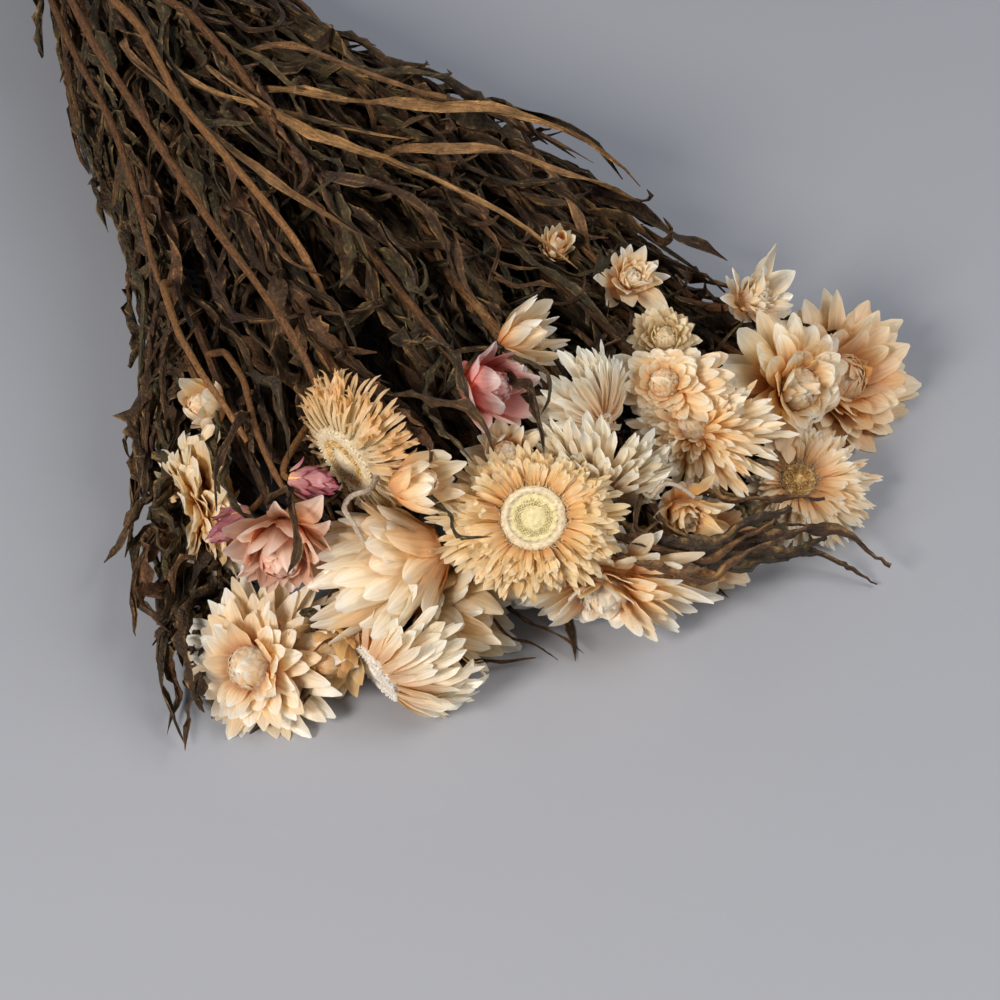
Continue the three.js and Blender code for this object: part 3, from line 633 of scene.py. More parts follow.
def edge_course(luck):
    """The course of a short crumpled leaf that hangs down at the near edge of the bunch: it follows the edge for a
    while, off it by a few millimetres, and wanders."""
    edge = at_even_places(np.array(NEAR_EDGE, float), 61)
    start, steps = luck.integers(0, 52), luck.integers(8, 17)
    part = edge[start:start + steps:3] + luck.normal((0, 6.5, 2), (2, 3.5, 2.5))
    part = part + luck.normal(0, (2.6, 3.0, 3.0), part.shape)
    return [tuple(point) for point in np.maximum(part, (0, -117, 1))]


def loose_leaf(half, tone, course, luck, crumpled=1.6):
    """A leaf along a given course, rounded off and with a slight waver."""
    middle = smoothed(smoothed(at_even_places(np.array(course, float), LEAF_ROWS + 1)))
    middle = middle + np.cumsum(luck.normal(0, 0.9, middle.shape), 0)
    middle[:, 2] = np.maximum(middle[:, 2], LEAF_GROUND)
    up = np.broadcast_to([0.0, 0.0, 1.0], (1, LEAF_ROWS + 1, 3))
    return leaf_blades(smoothed(middle)[None], up, np.array([half]), np.array([tone]), luck, crumpled)


def crumpled_leaf(thick, tone, course, luck):
    """A leaf that shrivelled to a knobbly, twisted string: its section is an oval that turns along it, and its
    thickness comes and goes in waves."""
    middle = smoothed(smoothed(at_even_places(np.array(course, float), 60)))
    middle = middle + smoothed(np.cumsum(luck.normal(0, 0.32, middle.shape),
                                         0)) + luck.normal(0, 0.12, middle.shape)
    middle[:, 2] = np.maximum(middle[:, 2], thick + 0.3)
    s = np.linspace(0, 1, 60)
    around = np.arange(9) / 9 * 2 * np.pi
    twist = (luck.uniform(2, 5) * 2 * np.pi * s + 0.8 * waves(luck, 1, 1, 3, s)[0])[:, None]
    thickness = thick * (1 + 0.2 * waves(luck, 1, 3, 8, s)[0]) * np.clip((1 - s) / 0.25, 0.2, 1) ** 0.5
    section = 1 + 0.42 * np.cos(2 * around + twist) + 0.14 * np.cos(5 * around - twist)
    return finished(rod(middle, thickness[:, None] * section * (1 + 0.08 * luck.standard_normal((60, 9))), 9),
                    1, tone)


def loose_stalk(thick, course, luck, finish=0):
    """A bare side shoot along a given course, rounded off, tapering and slightly uneven."""
    middle = smoothed(smoothed(at_even_places(np.array(course, float), 60)))
    uneven = thick * np.linspace(1.0, 0.7, 60) * (1 + 0.05 * luck.standard_normal(60))
    return finished(rod(middle, uneven, 9), finish, luck.uniform(0.3, 0.9))


def bleached_stalk(thick, course, luck):
    """A side shoot that has lost its skin."""
    return loose_stalk(thick, course, luck, 2)


def dry_stalk(name, stops):
    """Dry herbaceous stalk: dull golden brown, with fine ribs along it and a stubble of pale broken hairs."""
    material = new_material(name)
    where = add(material, "TexCoord").outputs["Object"]
    along = add(material, "UVMap", uv_map="along").outputs[0]
    tone = add(material, "Attribute", attribute_name="tone").outputs["Fac"]
    drawn = add(material, "Mapping", {"Scale": (14, 45, 1)}, {"Vector": along}).outputs[0]
    fibres = add(material, "TexNoise", {"Scale": 1.0, "Detail": 3.0, "Roughness": 0.6},
                 {"Vector": drawn}).outputs[0]
    stubble = add(material, "TexNoise", {"Scale": 1400.0, "Detail": 1.0}, {"Vector": where}).outputs[0]
    mixed = add(material, "Math", {1: 0.6}, {0: fibres}, operation="MULTIPLY").outputs[0]
    mixed = add(material, "Math", {1: 0.4}, {0: stubble, 2: mixed}, operation="MULTIPLY_ADD").outputs[0]
    mixed = add(material, "Math", {1: 0.30}, {0: tone, 2: mixed}, operation="MULTIPLY_ADD").outputs[0]
    colour = add(material, "ValToRGB", links={0: mixed},
                 stops=stops).outputs[0]
    bump = add(material, "Bump", {"Strength": 0.6, "Distance": 0.0005}, {"Height": mixed}).outputs[0]
    shader = add(material, "BsdfPrincipled", {"Roughness": 0.75, "Specular IOR Level": 0.25},
                 {"Base Color": colour, "Normal": bump})
    add(material, "OutputMaterial", links={"Surface": shader.outputs[0]})
    return material


def dry_leaf():
    """Shrivelled leaf: matt, each one dark brown, olive or reddish, streaked along its length, with the midrib and
    the rolled edges paler than the blade in broken patches: partly their own dry colour, partly painted highlight
    along these ridges."""
    material = new_material("dried brown leaf")
    where = add(material, "TexCoord").outputs["Object"]
    along = add(material, "UVMap", uv_map="along").outputs[0]
    tone = add(material, "Attribute", attribute_name="tone").outputs["Fac"]
    drawn = add(material, "Mapping", {"Scale": (7, 26, 1)}, {"Vector": along}).outputs[0]
    veins = add(material, "TexNoise", {"Scale": 1.0, "Detail": 4.0, "Roughness": 0.65},
                {"Vector": drawn}).outputs[0]
    mottle = add(material, "TexNoise", {"Scale": 170.0, "Detail": 5.0, "Roughness": 0.7},
                 {"Vector": where}).outputs[0]
    body = add(material, "ValToRGB", links={0: tone}, stops=[
        (0.0, "302112"), (1.0, "94734c"), (0.2, "412d1a"), (0.38, "3b3420"), (0.55, "2c1e13"),
        (0.7, "503521"),
        (0.85, "453b25"), (0.9, "64482e"), (0.94, "806140")]).outputs[0]
    # Paler midrib and rims: partly the leaf's own colour and partly painted highlight where the rolled edges and the
    # midrib catch the light.
    across = add(material, "SeparateXYZ", links={0: along}).outputs["X"]
    from_rib = add(material, "Math", {1: 0.5}, {0: across}, operation="SUBTRACT").outputs[0]
    from_rib = add(material, "Math", links={0: from_rib}, operation="ABSOLUTE").outputs[0]
    rib = add(material, "MapRange", {1: 0.02, 2: 0.08, 3: 0.3, 4: 0.0}, {0: from_rib}).outputs[0]
    rim = add(material, "MapRange", {1: 0.34, 2: 0.50, 3: 0.0, 4: 0.6}, {0: from_rib}).outputs[0]
    pale = add(material, "Math", links={0: rib, 1: rim}, operation="ADD").outputs[0]
    # The pale bands show only in patches, where the mottle is high.
    pale_patches = add(material, "MapRange", {1: 0.44, 2: 0.60, 3: 0.0, 4: 1.0}, {0: mottle}).outputs[0]
    pale = add(material, "Math", links={0: pale, 1: pale_patches}, operation="MULTIPLY").outputs[0]
    colour = add(material, "Mix", {7: linear("9c7b4f")}, {0: pale, 6: body}, data_type="RGBA").outputs[2]
    both = add(material, "Math", links={0: veins, 1: mottle}, operation="ADD").outputs[0]
    shade = add(material, "MapRange", {1: 0.7, 2: 1.3, 3: 0.35, 4: 1.9}, {0: both}).outputs[0]
    colour = add(material, "HueSaturation", {"Saturation": 1.05},
                 {"Value": shade, "Color": colour}).outputs[0]
    crumple = add(material, "TexNoise", {"Scale": 550.0, "Detail": 4.0, "Roughness": 0.6},
                  {"Vector": where}).outputs[0]
    height = add(material, "Math", {1: 1.2}, {0: crumple, 2: both}, operation="MULTIPLY_ADD").outputs[0]
    bump = add(material, "Bump", {"Strength": 1.0, "Distance": 0.0014}, {"Height": height}).outputs[0]
    shader = add(material, "BsdfPrincipled", {"Roughness": 0.6, "Specular IOR Level": 0.35},
                 {"Base Color": colour, "Normal": bump})
    add(material, "OutputMaterial", links={"Surface": shader.outputs[0]})
    return material


stalk_and_leaf = [
    dry_stalk("dry flower stalk", [(0.42, "24160b"), (0.95, "8c683e"), (0.57, "452c17"), (0.74, "684626")]),
    dry_leaf(),
    dry_stalk("bleached flower stalk",
              [(0.42, "5e5246"), (0.95, "c4b8a6"), (0.57, "86786a"), (0.74, "a49684")]),
]
lines = {}
for order, number in enumerate([n for n in HEADS if n not in ON_SHOOTS], 1):
    line = np.concatenate([traced(f"leafy_stem_{order:02d}"), [under(number, 0.42)]])
    lines[number] = evenly(smoothed(line), STEM_SPACING)
carried = {number: [] for number in lines}
luck = np.random.default_rng(7)
hanging = [(luck.uniform(1.6, 3.4), luck.uniform(0, 0.9), edge_course(luck)) for _ in range(EDGE_LEAVES)]
bundled = []
for count, spread, thick, tone, course in BUNDLES:
    for _ in range(count):
        drift = luck.normal(0, spread, (len(course), 3)) + luck.normal(0, spread / 2, 3)
        bundled.append((thick * luck.uniform(0.6, 1.15), tone + luck.uniform(-0.15, 0.15),
                        (course + drift).tolist()))
given = [(loose_leaf, *leaf) for leaf in LOOSE_LEAVES + hanging]
given += [(crumpled_leaf, *leaf) for leaf in bundled]
given += [(loose_stalk, *stalk) for stalk in LOOSE_STALKS]
given += [(bleached_stalk, *stalk) for stalk in BLEACHED_STALKS]
for *kind, course in given:
    gap = {n: np.linalg.norm(line - course[0], axis=1) for n, line in lines.items()}
    number = min(gap, key=lambda n: gap[n].min())
    root = lines[number][max(gap[number].argmin() - 3, 0)]
    carried[number].append((*kind, [tuple(root), *course]))
for order, (number, line) in enumerate(lines.items(), 1):
    luck = np.random.default_rng(100 + number)
    radius = THINNEST_STEM + STEM_PER_HEAD * HEADS[number][1]
    around = np.arange(STEM_SIDES) / STEM_SIDES * 2 * np.pi
    along = np.arange(len(line))[:, None]
    ribbed = 1 + 0.10 * np.cos(STEM_RIBS * around + 0.05 * along) + 0.04 * luck.standard_normal((len(line), 1))
    taper = np.linspace(1.0, 0.75, len(line))[:, None]
    shapes = [finished(rod(line, radius * ribbed * taper, STEM_SIDES), 0, luck.uniform())]
    for bud, parent in ON_SHOOTS.items():
        if parent == number:
            shapes.append(finished(rod(shoot(line, bud), np.linspace(1.1, 0.8, 12), 8), 0, luck.uniform()))
    shapes.append(leaves_of(number, line, radius, luck))
    shapes += [form(*values, luck) for form, *values in carried[number]]
    make_piece(f"stem_{order:02d}", shapes, stalk_and_leaf, f"leafy_stem_{order:02d}")

# ---------------------------------------------------------------- domed flower heads
# Papery bracts round a closed dome: the inner ones bend in over the middle and overlap like tiles, and the outer
# ones spread. All are set at turns of 137.5 degrees round the axis and are thin, dry and a little translucent.
BRACT_TURN = np.radians(137.508)
BRACT_HALF_THICKNESS = 0.10
# Outlines: width at the base, where it is widest, how long the taper to the tip is, and how pointed it is.
FRAYED = (0.7, 0.5, 0.14, 0.4)
OVATE = (0.6, 0.5, 0.44, 0.5)
BLUNT = (0.65, 0.5, 0.34, 0.4)
# Heads with uneven bracts: by what share longer to one side, its turn from level, by what share oval.
LONGER = {
    1: (0.15, 90, 0), 2: (0.15, 60, 0), 5: (0.2, 60, 0), 6: (0.25, 90, 0), 8: (0.1, 200, 0.22),
    10: (0.22, 60, 0), 11: (0.1, 60, 0), 13: (0.3, 90, 0.28), 14: (0.2, 0, 0.15), 17: (0.2, 90, 0),
    18: (0.3, 90, -0.1), 22: (0.15, 120, 0), 23: (0.3, 0, 0.4), 24: (0.5, 155, 0.25), 25: (0.25, -20, 0.1),
    26: (0.25, -20, 0.2), 27: (0.35, -30, 0),
}


def around_head(number, turn):
    """Unit vectors out of a head's axis at this turn round it, from level towards upright."""
    facing = heading(*HEADS[number][2])
    level = unit(np.cross([0.0, 0.0, 1.0], facing))
    upright = np.cross(facing, level)
    return level * np.cos(turn)[..., None] + upright * np.sin(turn)[..., None]


def bracts(number, luck, ring, base, length, lean, half, cup, outline=OVATE, cells=(6, 2), curl=0.0,
           sway=0.12, wild=1.0, finish=0, first=0):
    """Bracts of one head. Bract i starts ring i radii out of the axis and base i up it, and its midline leans
    from the axis by the first value of lean at its base to the second at its tip, plus curl * s ** 4. It is
    length i radii long and half i wide to each side, and its edges are rolled up by the angle cup."""
    middle, radius, facing, _, _ = HEADS[number]
    facing = heading(*facing)
    count = len(ring)
    s = np.linspace(0, 1, cells[0] + 1) ** 0.8
    turn = ((first + np.arange(count)) * BRACT_TURN + luck.normal(0, 0.12, count) * wild)[:, None]
    share, side, oval = LONGER.get(number, (0.08, 40 * number, 0))
    size = 1 + share * np.cos(turn[:, 0] - np.radians(side)) + oval * np.cos(2 * turn[:, 0])
    size = size * (1 + luck.normal(0, 0.09, count) * wild)
    turn = turn + luck.normal(0, sway, (count, 1)) * s ** 2
    start, stop, curl = (np.radians(np.broadcast_to(v, count))[:, None] for v in (*lean, curl))
    start = start + luck.normal(0, 0.08, (count, 1)) * wild
    stop = stop + luck.normal(0, 0.16, (count, 1)) * wild
    angle = start + (stop - start) * s ** 1.2 + (curl + luck.normal(0, 0.25, (count, 1)) * wild) * s ** 4
    out = around_head(number, turn)
    course = out * np.sin(angle)[..., None] + facing * np.cos(angle)[..., None]
    up = facing * np.sin(angle)[..., None] - out * np.cos(angle)[..., None]
    up = turned(up, course, luck.normal(0, 0.3, (count, 1)) * wild * s)
    steps = course * (radius * length * size)[:, None, None] * np.diff(s, prepend=0)[:, None]
    foot = out[:, 0] * np.asarray(ring)[:, None] + facing * np.broadcast_to(base, count)[:, None]
    root = np.array(middle) + radius * foot
    midline = root[:, None] + np.cumsum(steps, 1)
    narrow, widest, taper, point = outline
    shape = narrow + (1 - narrow) * np.sin(np.pi / 2 * np.minimum(s / widest, 1))
    shape = shape * np.clip((1 - s) / taper, 0.01, 1) ** point
    wide = radius * np.broadcast_to(half, count)[:, None] * shape * (1 + luck.normal(0, 0.12, (count, 1)))
    roll = np.broadcast_to(cup, count)[:, None] + luck.normal(0, 0.25, (count, 1)) + 0 * s
    c = np.abs(np.linspace(-1, 1, cells[1] + 1))
    beat = s[:, None] * luck.uniform(1, 3, (count, 1, 1)) + luck.uniform(0, 1, (count, 1, 1))
    crinkle = np.sin(2 * np.pi * beat)
    blade = blades(midline, course, up, wide, roll, BRACT_HALF_THICKNESS, cells[1],
                   0.12 * wild * wide[..., None] * c * crinkle)
    return finished(blade, finish, np.repeat(luck.uniform(0, 1, count), len(blade["faces"][0]) // count))


def turned_core(number, profile, finish=1, sides=14):
    """A solid of revolution about a head's axis, through points given as radii out of it and along it."""
    middle, radius, facing, _, _ = HEADS[number]
    profile = radius * np.array(profile, float)
    axes = [np.broadcast_to(v, (len(profile), 3)) for v in around_head(number, np.array([0, np.pi / 2]))]
    return finished(rod(np.array(middle) + profile[:, 1:] * heading(*facing), profile[:, :1], sides, axes),
                    finish, 0.5)


# The warm bases are partly painted glow, standing for light that passes through the bracts deep in a head; the
# near-white tips are partly painted highlight.
BRACT_COLOURS = {  # base, middle and tip of a bract, and what the older bracts turn to
    "white": ("f8e2c0", "fdf4e4", "fffffa", "f9eed8"),
    "ivory": ("fdd59c", "fff3dc", "fffffc", "fdeac8"),
    "cream": ("fdd796", "fff0d0", "fffdf6", "fde3b4"),
    "amber": ("fdf5e2", "fdf3da", "fae2b8", "fcecce"),
    "yellow": ("fbda96", "fdedc2", "fef6e2", "f9e0a6"),
    "straw": ("e6cc98", "f2e4c2", "fbf4e0", "dcc498"),
    "peach": ("fdd8a0", "feeac8", "fff8e8", "fcdcac"),
    "pink": ("f0b8a0", "f0c2ba", "fdf6f4", "dc9c96"),
    "magenta": ("f6ddd0", "eac0c2", "c87c98", "f2d0c8"),
    "blush": ("fbd8b8", "f8e0cc", "fef2ea", "f3cfb8"),
}


def papery_bract(tint):
    """Dry scarious bract: thin, silky and slightly translucent, with fine lengthwise streaks, a warmer base and a
    near-white tip. The warm base is partly painted glow, for light that passes through many bracts deep in a head,
    and the white tip is partly painted highlight.
    """
    base, body, tip, old = BRACT_COLOURS[tint]
    material = new_material(f"papery {tint} bract")
    along = add(material, "UVMap", uv_map="along").outputs[0]
    tone = add(material, "Attribute", attribute_name="tone").outputs["Fac"]
    part = add(material, "SeparateXYZ", links={0: along}).outputs
    shift = add(material, "Math", {1: 41.0}, {0: tone}, operation="MULTIPLY").outputs[0]
    own = add(material, "CombineXYZ", links={"X": part["X"], "Y": part["Y"], "Z": shift}).outputs[0]
    drawn = add(material, "Mapping", {"Scale": (9, 1.3, 1)}, {"Vector": own}).outputs[0]
    streaks = add(material, "TexNoise", {"Scale": 1.0, "Detail": 3.0, "Roughness": 0.6},
                  {"Vector": drawn}).outputs[0]
    wander = add(material, "Math", {1: 0.22, 2: -0.11}, {0: streaks}, operation="MULTIPLY_ADD").outputs[0]
    place = add(material, "Math", links={0: part["Y"], 1: wander}, operation="ADD").outputs[0]
    # From base to tip: the warm base is partly painted glow and the near-white tip partly painted highlight.
    colour = add(material, "ValToRGB", links={0: place},
                 stops=[(0.05, base), (0.95, tip), (0.45, body)]).outputs[0]
    aged = add(material, "MapRange", {1: 0.55, 2: 1.0, 3: 0.0, 4: 0.6}, {0: tone}).outputs[0]
    aged = add(material, "Mix", {7: linear(old)}, {0: aged, 6: colour}, data_type="RGBA").outputs[2]
    streaked = add(material, "MapRange", {1: 0.35, 2: 0.7, 3: 0.86, 4: 1.06}, {0: streaks}).outputs[0]
    colour = add(material, "HueSaturation", links={"Value": streaked, "Color": aged}).outputs[0]
    bump = add(material, "Bump", {"Strength": 0.35, "Distance": 0.0003}, {"Height": streaks}).outputs[0]
    shader = add(material, "BsdfPrincipled", {"Roughness": 0.34, "Specular IOR Level": 1.0},
                 {"Base Color": colour, "Normal": bump}).outputs[0]
    glow = add(material, "HueSaturation", {"Saturation": 1.3}, {"Color": colour}).outputs[0]
    through = add(material, "BsdfTranslucent", links={"Color": glow, "Normal": bump}).outputs[0]
    both = add(material, "MixShader", {0: 0.72}, {1: shader, 2: through}).outputs[0]
    add(material, "OutputMaterial", links={"Surface": both})
    return material


def woolly_heart(name, dark, light):
    """The tight middle of a head: tiny florets and bract tips packed together, felted and matt."""
    material = new_material(name)
    where = add(material, "TexCoord").outputs["Object"]
    tufts = add(material, "TexNoise", {"Scale": 900.0, "Detail": 2.0}, {"Vector": where}).outputs[0]
    colour = add(material, "ValToRGB", links={0: tufts}, stops=[(0.35, dark), (0.65, light)]).outputs[0]
    bump = add(material, "Bump", {"Strength": 0.6, "Distance": 0.0004}, {"Height": tufts}).outputs[0]
    shader = add(material, "BsdfPrincipled", {"Roughness": 0.9, "Specular IOR Level": 0.2},
                 {"Base Color": colour, "Normal": bump}).outputs[0]
    add(material, "OutputMaterial", links={"Surface": shader})
    return material


paper = {tint: papery_bract(tint) for tint in BRACT_COLOURS}
# The golden middle of the heads. In the domes it also shows under and between the spread bracts, where its colour is
# painted glow for light coming through them.
golden_heart_and_glow = woolly_heart("packed bract bases and painted glow", "d09a5c", "e6c08a")
CORE = [(0.02, -0.42), (0.2, -0.4), (0.32, -0.24), (0.34, 0.0), (0.28, 0.16), (0.16, 0.26), (0.02, 0.3)]


# Heads whose bracts take a paler or warmer colour than their tint. For most it is their own colour; head 13 is made
# paler against the shade it lies in and head 24 warmer against the cool light that reaches it, which is painted
# light.
SHADES = {11: "white", 12: "cream", 13: "ivory", 17: "white", 18: "white", 22: "white", 24: "cream",
          26: "cream", 27: "cream", 28: "cream"}


def of_form(form):
    """The numbers of the heads of one form, with the luck of each."""
    return [(n, np.random.default_rng(n)) for n in HEADS if HEADS[n][3] == form]


def paper_of(number):
    """The bract material of one head."""
    return paper[SHADES.get(number, HEADS[number][4])]


def make_flower(number, shapes, *hearts):
    """The piece of one flower head, with its bract material first and then those of its middle."""
    make_piece(f"flower_{number:02d}", shapes, [paper_of(number), *hearts],
               f"flower_head_{number:02d}")


def closed_dome(number, luck, count, radius, reach, base, half=0.12):
    """Tiled bracts bent in over a dome of this radius: the tip of bract i lies at a polar angle that grows with
    the root of i up to reach, its base 50 degrees further down, and it follows the dome between them. The tips of
    the first ones cross the axis, and so close the middle."""
    tip = reach * np.sqrt((np.arange(count) + 0.5) / count) - 14
    foot = tip + 50
    return bracts(number, luck, radius * np.sin(np.radians(foot)), base + radius * np.cos(np.radians(foot)),
                  radius * np.radians(54), (foot - 87, tip - 76), half, 0.7, OVATE, (5, 2), wild=0.6)


def involucre(number, luck, count, reach):
    """Short broad bracts laid like tiles over the underside of a head, from the neck out to this many radii."""
    order = np.linspace(0, 1, count)
    return bracts(number, luck, 0.10 + 0.22 * order, -0.44 + 0.16 * order, reach * (0.45 + 0.55 * order),
                  (98 - 20 * order, 78 - 14 * order), 0.15, -0.5, BLUNT, (5, 2), wild=0.7)


# The middle of a dome, wider than its closed bracts so that its golden body fills the space under the spread ones:
# painted glow, standing for light that comes through the bracts.
DOME_CORE_AND_GLOW_FILL = [(0.02, -0.42), (0.3, -0.4), (0.5, -0.26), (0.5, -0.14), (0.36, -0.04), (0.2, 0.1), (0.1, 0.2),
             (0.02, 0.22)]
# Outer bracts: how many, half width, length, lean of the inner and outer tips; closed middle; involucre's reach.
DOMES = {
    10: (110, 0.15, 0.90, 50, 104, 0.31, 0.5), 13: (96, 0.14, 0.95, 45, 105, 0.32, 0.5),
    14: (80, 0.22, 0.9, 20, 105, 0.38, 0.5), 21: (70, 0.20, 0.75, 20, 100, 0.42, 0.5),
    23: (90, 0.19, 0.84, 40, 105, 0.36, 0.7), 24: (64, 0.22, 1.05, 38, 108, 0.42, 0.5),
    25: (84, 0.20, 0.88, 30, 110, 0.34, 0.6), 26: (210, 0.07, 0.86, 40, 100, 0.22, 0.5),
}
BLUNT_DOMES = (13, 23, 24)  # heads whose bracts end bluntly
for number, luck in of_form("dome"):
    count, half, length, inner_lean, outer_lean, closed, behind = DOMES[number]
    order = np.linspace(0, 1, count) ** 0.75
    wide = half > 0.1
    spread = bracts(number, luck, closed * 0.75 + 0.1 * order, 0.08 - 0.40 * order,
                    length * (0.60 + 0.46 * order),
                    (0.4 * inner_lean + 48 * order, inner_lean + (outer_lean - inner_lean) * order),
                    half, 0.25 if wide else 1.0,
                    (BLUNT if number in BLUNT_DOMES else OVATE) if wide else FRAYED,
                    (7, 4 if wide else 2), curl=-15, wild=0.9)
    shapes = [turned_core(number, DOME_CORE_AND_GLOW_FILL), closed_dome(number, luck, 80, closed, 75, 0.02), spread,
              involucre(number, luck, 40, behind)]
    make_flower(number, shapes, golden_heart_and_glow)

# ---------------------------------------------------------------- starry flower heads
# Half-open heads: a small closed heart of narrow bracts, and a few broad pointed ones standing out like rays.
# Rays: how many, half width and length.
STARS = {20: (14, 0.25, 1.1), 22: (11, 0.27, 1.3), 28: (14, 0.28, 1.15)}
for number, luck in of_form("star"):
    count, half, length = STARS[number]
    order = np.linspace(0, 1, count)
    rays = bracts(number, luck, 0.24 + 0.08 * order, -0.05 - 0.35 * order, length * (0.85 + 0.15 * order),
                  (5 + 45 * order, 20 + 58 * order), half, 0.7, OVATE, (8, 4), curl=-10, wild=1.3)
    order = np.linspace(0, 1, 26)
    inner = bracts(number, luck, 0.24 + 0.06 * order, 0.0 - 0.2 * order, 0.5 + 0.25 * order,
                   (-5 + 20 * order, 0 + 35 * order), 0.16, 0.8, OVATE, (6, 2))
    core = [(out * 0.8, along) for out, along in CORE]
    shapes = [turned_core(number, core), closed_dome(number, luck, 26, 0.32, 60, 0.05, 0.14), inner, rays,
              involucre(number, luck, 20, 0.5)]
    make_flower(number, shapes, golden_heart_and_glow)

# ---------------------------------------------------------------- cup-shaped flower heads
# Heads that dried half shut: broad bracts that come up from the neck and bend in over an egg-shaped heart.
# Bracts: how many, half width, length, how far the outer ones open and by what share they are shorter.
CUPS = {
    1: (14, 0.40, 1.55, 18, 0.12), 5: (26, 0.30, 1.35, 75, 0.12), 7: (15, 0.38, 1.75, 22, 0.12),
    9: (110, 0.19, 1.58, 55, 0.58), 12: (64, 0.23, 1.65, 85, 0.5), 15: (15, 0.40, 1.5, 55, 0.12),
    16: (22, 0.26, 1.6, 55, 0.12), 29: (20, 0.28, 1.5, 60, 0.12), 30: (24, 0.28, 1.4, 60, 0.12),
}
for number, luck in of_form("cup"):
    count, half, length, opened, shorter = CUPS[number]
    order = np.linspace(0, 1, count)
    outer = bracts(number, luck, 0.16 + 0.06 * order, -0.62 - 0.1 * order, length * (1 - shorter * order),
                   (38 + 14 * order, -16 + opened * order), half, 0.85 if count < 40 else 0.5,
                   OVATE if count < 40 else BLUNT, (8, 4), curl=6)
    egg = [(0.02, -0.7), (0.22, -0.62), (0.32, -0.3), (0.3, 0.1), (0.2, 0.36), (0.02, 0.48)]
    shapes = [turned_core(number, egg), closed_dome(number, luck, 30, 0.34, 70, 0.14, 0.16), outer]
    make_flower(number, shapes, golden_heart_and_glow)

# ---------------------------------------------------------------- buds
# Small heads that never opened: narrow pointed bracts wrapped upwards round an egg, with the outer tips loose.
for number, luck in of_form("bud"):
    order = np.linspace(0, 1, 34)
    wrapped = bracts(number, luck, 0.2 + 0.2 * order, 0.3 - 1.1 * order, 1.15 - 0.1 * order,
                     (22 + 10 * order, -30 + 52 * order), 0.24, 0.8, OVATE, (6, 2))
    egg = [(0.02, -0.9), (0.3, -0.7), (0.38, -0.3), (0.28, 0.1), (0.02, 0.4)]
    make_flower(number, [turned_core(number, egg), wrapped], golden_heart_and_glow)

# ---------------------------------------------------------------- open flower heads
# Fully open heads: a disc of spent florets with a raised button, ringed with pale wool, and several rows of narrow
# folded bracts that bend right back, curled at the tips.
BUTTON = [(0.02, -0.3), (0.8, -0.28), (0.98, -0.05), (0.98, 0.07), (0.88, 0.10), (0.70, 0.11), (0.55, 0.07),
          (0.42, 0.07), (0.3, 0.12), (0.12, 0.14), (0.02, 0.14)]
WOOL_RING = [(0.66, -0.05), (1.04, -0.05), (1.06, 0.06), (0.97, 0.13), (0.84, 0.145), (0.72, 0.10),
             (0.66, 0.02)]


def disc(scale, outline=BUTTON):
    """The outline of a disc, a low plate with a hollow and a small dome in it, or of the ring of wool round it."""
    return [(out * scale, along) for out, along in outline]


def florets(number, luck, count, inner, outer, base, height, thick, finish):
    """Short upright tufts on a disc: tuft i stands at turn 137.5 i, at a radius whose square grows evenly."""
    middle, radius, facing, _, _ = HEADS[number]
    facing = heading(*facing)
    out = radius * np.sqrt(np.linspace(inner ** 2, outer ** 2, count))
    away = around_head(number, np.arange(count) * BRACT_TURN)
    foot = np.array(middle) + facing * radius * base + away * out[:, None]
    tops = unit(facing + luck.normal(0, 0.2, (count, 3)) + 0.3 * away * (out / out.max())[:, None])
    tall = radius * height * luck.uniform(0.7, 1.2, count)
    steps = np.array([0.0, 0.7, 1.0])[:, None]
    return [finished(rod(f + steps * t * h, radius * thick * np.array([1.0, 1.1, 0.4]), 4), finish,
                     luck.uniform())
            for f, t, h in zip(foot, tops, tall)]


pale_wool = woolly_heart("pale pappus wool", "b8a98a", "cfc3a8")
white_wool = woolly_heart("white pappus wool", "b4aea4", "d2cec6")
green_florets = woolly_heart("spent disc florets", "b8ac80", "ccc096")
brown_florets = woolly_heart("brown disc florets", "a8844e", "dcbc82")
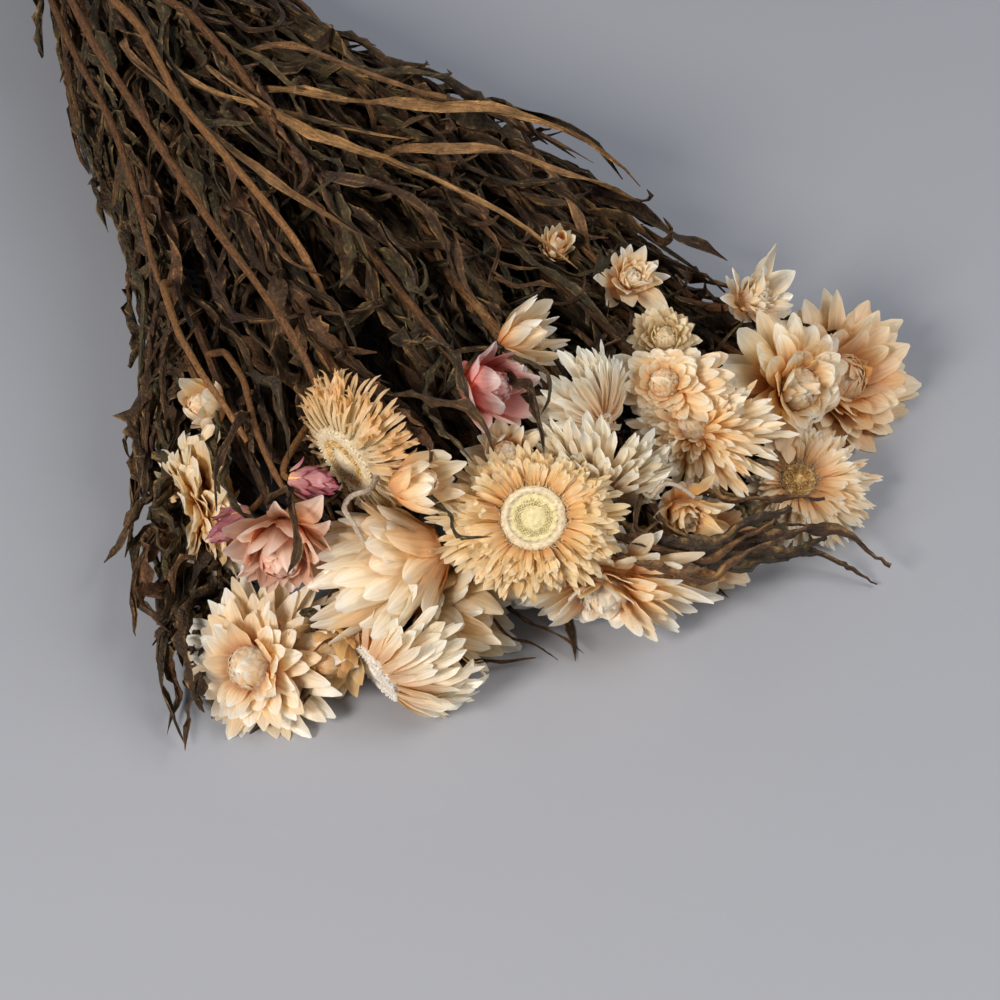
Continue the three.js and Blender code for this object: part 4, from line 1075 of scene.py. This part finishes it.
# Bracts: how many, half width, length, lean of the inner and outer tips, roll, curl; the disc: radius, florets.
OPEN = {
    2: (120, 0.17, 0.62, 60, 108, 0.45, 15, 0.28, [green_florets, pale_wool]),
    8: (560, 0.046, 0.50, 80, 112, 0.9, 60, 0.38, [green_florets, pale_wool]),
    27: (380, 0.05, 0.62, 74, 106, 0.9, 30, 0.30, [brown_florets, pale_wool]),
}
for number, luck in of_form("open"):
    count, half, length, inner_lean, outer_lean, cup, curl, wide, florets_of = OPEN[number]
    order = np.linspace(0, 1, count)
    straps = bracts(number, luck, wide + 0.06 * order, 0.08 - 0.3 * order, length * (0.75 + 0.5 * order),
                    (45 + 30 * order, inner_lean + (outer_lean - inner_lean) * order), half, cup, FRAYED,
                    (8, 2), curl=luck.normal(10, curl, count), sway=0.15)
    shapes = [turned_core(number, disc(wide), 1, 20), straps, involucre(number, luck, 40, 0.6)]
    if florets_of[0] is brown_florets:
        shapes += florets(number, luck, 260, 0.02, wide * 0.8, 0.06, 0.09, 0.014, 1)
        shapes += florets(number, luck, 500, wide * 0.70, wide * 1.40, 0.0, 0.20, 0.006, 2)
    else:
        shapes.append(turned_core(number, disc(wide, WOOL_RING), 2, 24))
        shapes += florets(number, luck, 260, 0.02, wide * 0.66, 0.07, 0.03, 0.010, 1)
        shapes += florets(number, luck, 420, wide * 0.70, wide * 1.14, 0.06, 0.09, 0.006, 2)
    make_flower(number, shapes, *florets_of)

# ---------------------------------------------------------------- swept flower heads
# Overripe heads: the disc has turned to wool and the long narrow bracts are swept back behind it like a mane.
# Lean of the bracts at the base and at the tip, their half width, length and curl, and the disc's radius; the
# half widths of all the bracts together, whether the disc has an inner ring of tufts, and its wool.
SWEEP = {
    6: (84, 130, 0.036, 0.50, 55, 0.54, 15, True, pale_wool),
    11: (100, 158, 0.10, 0.82, 25, 0.50, 15, False, white_wool),
    17: (92, 145, 0.13, 1.15, 15, 0.26, 24, True, white_wool),
    18: (86, 124, 0.10, 0.88, 12, 0.26, 24, True, white_wool),
}
for number, luck in of_form("swept"):
    from_angle, to_angle, half, length, curl, wide, fullness, inner_ring, wool = SWEEP[number]
    order = np.linspace(0, 1, int(fullness / half))
    mane = bracts(number, luck, wide + 0.05 * order, 0.06 - 0.3 * order, length * (0.85 + 0.3 * order),
                  (from_angle + 22 * order, to_angle - 12 + 24 * order), half, 1.0, FRAYED, (8, 2),
                  curl=luck.normal(-20, curl, len(order)), wild=0.8)
    shapes = [turned_core(number, disc(wide * 1.04), 1, 20), mane]
    shapes += florets(number, luck, 420, 0.03, wide * 1.02, 0.08, 0.035, 0.012, 1)
    if inner_ring:
        shapes += florets(number, luck, 200, wide * 0.45, wide * 0.7, 0.09, 0.04, 0.014, 2)
    make_flower(number, shapes, wool, brown_florets)
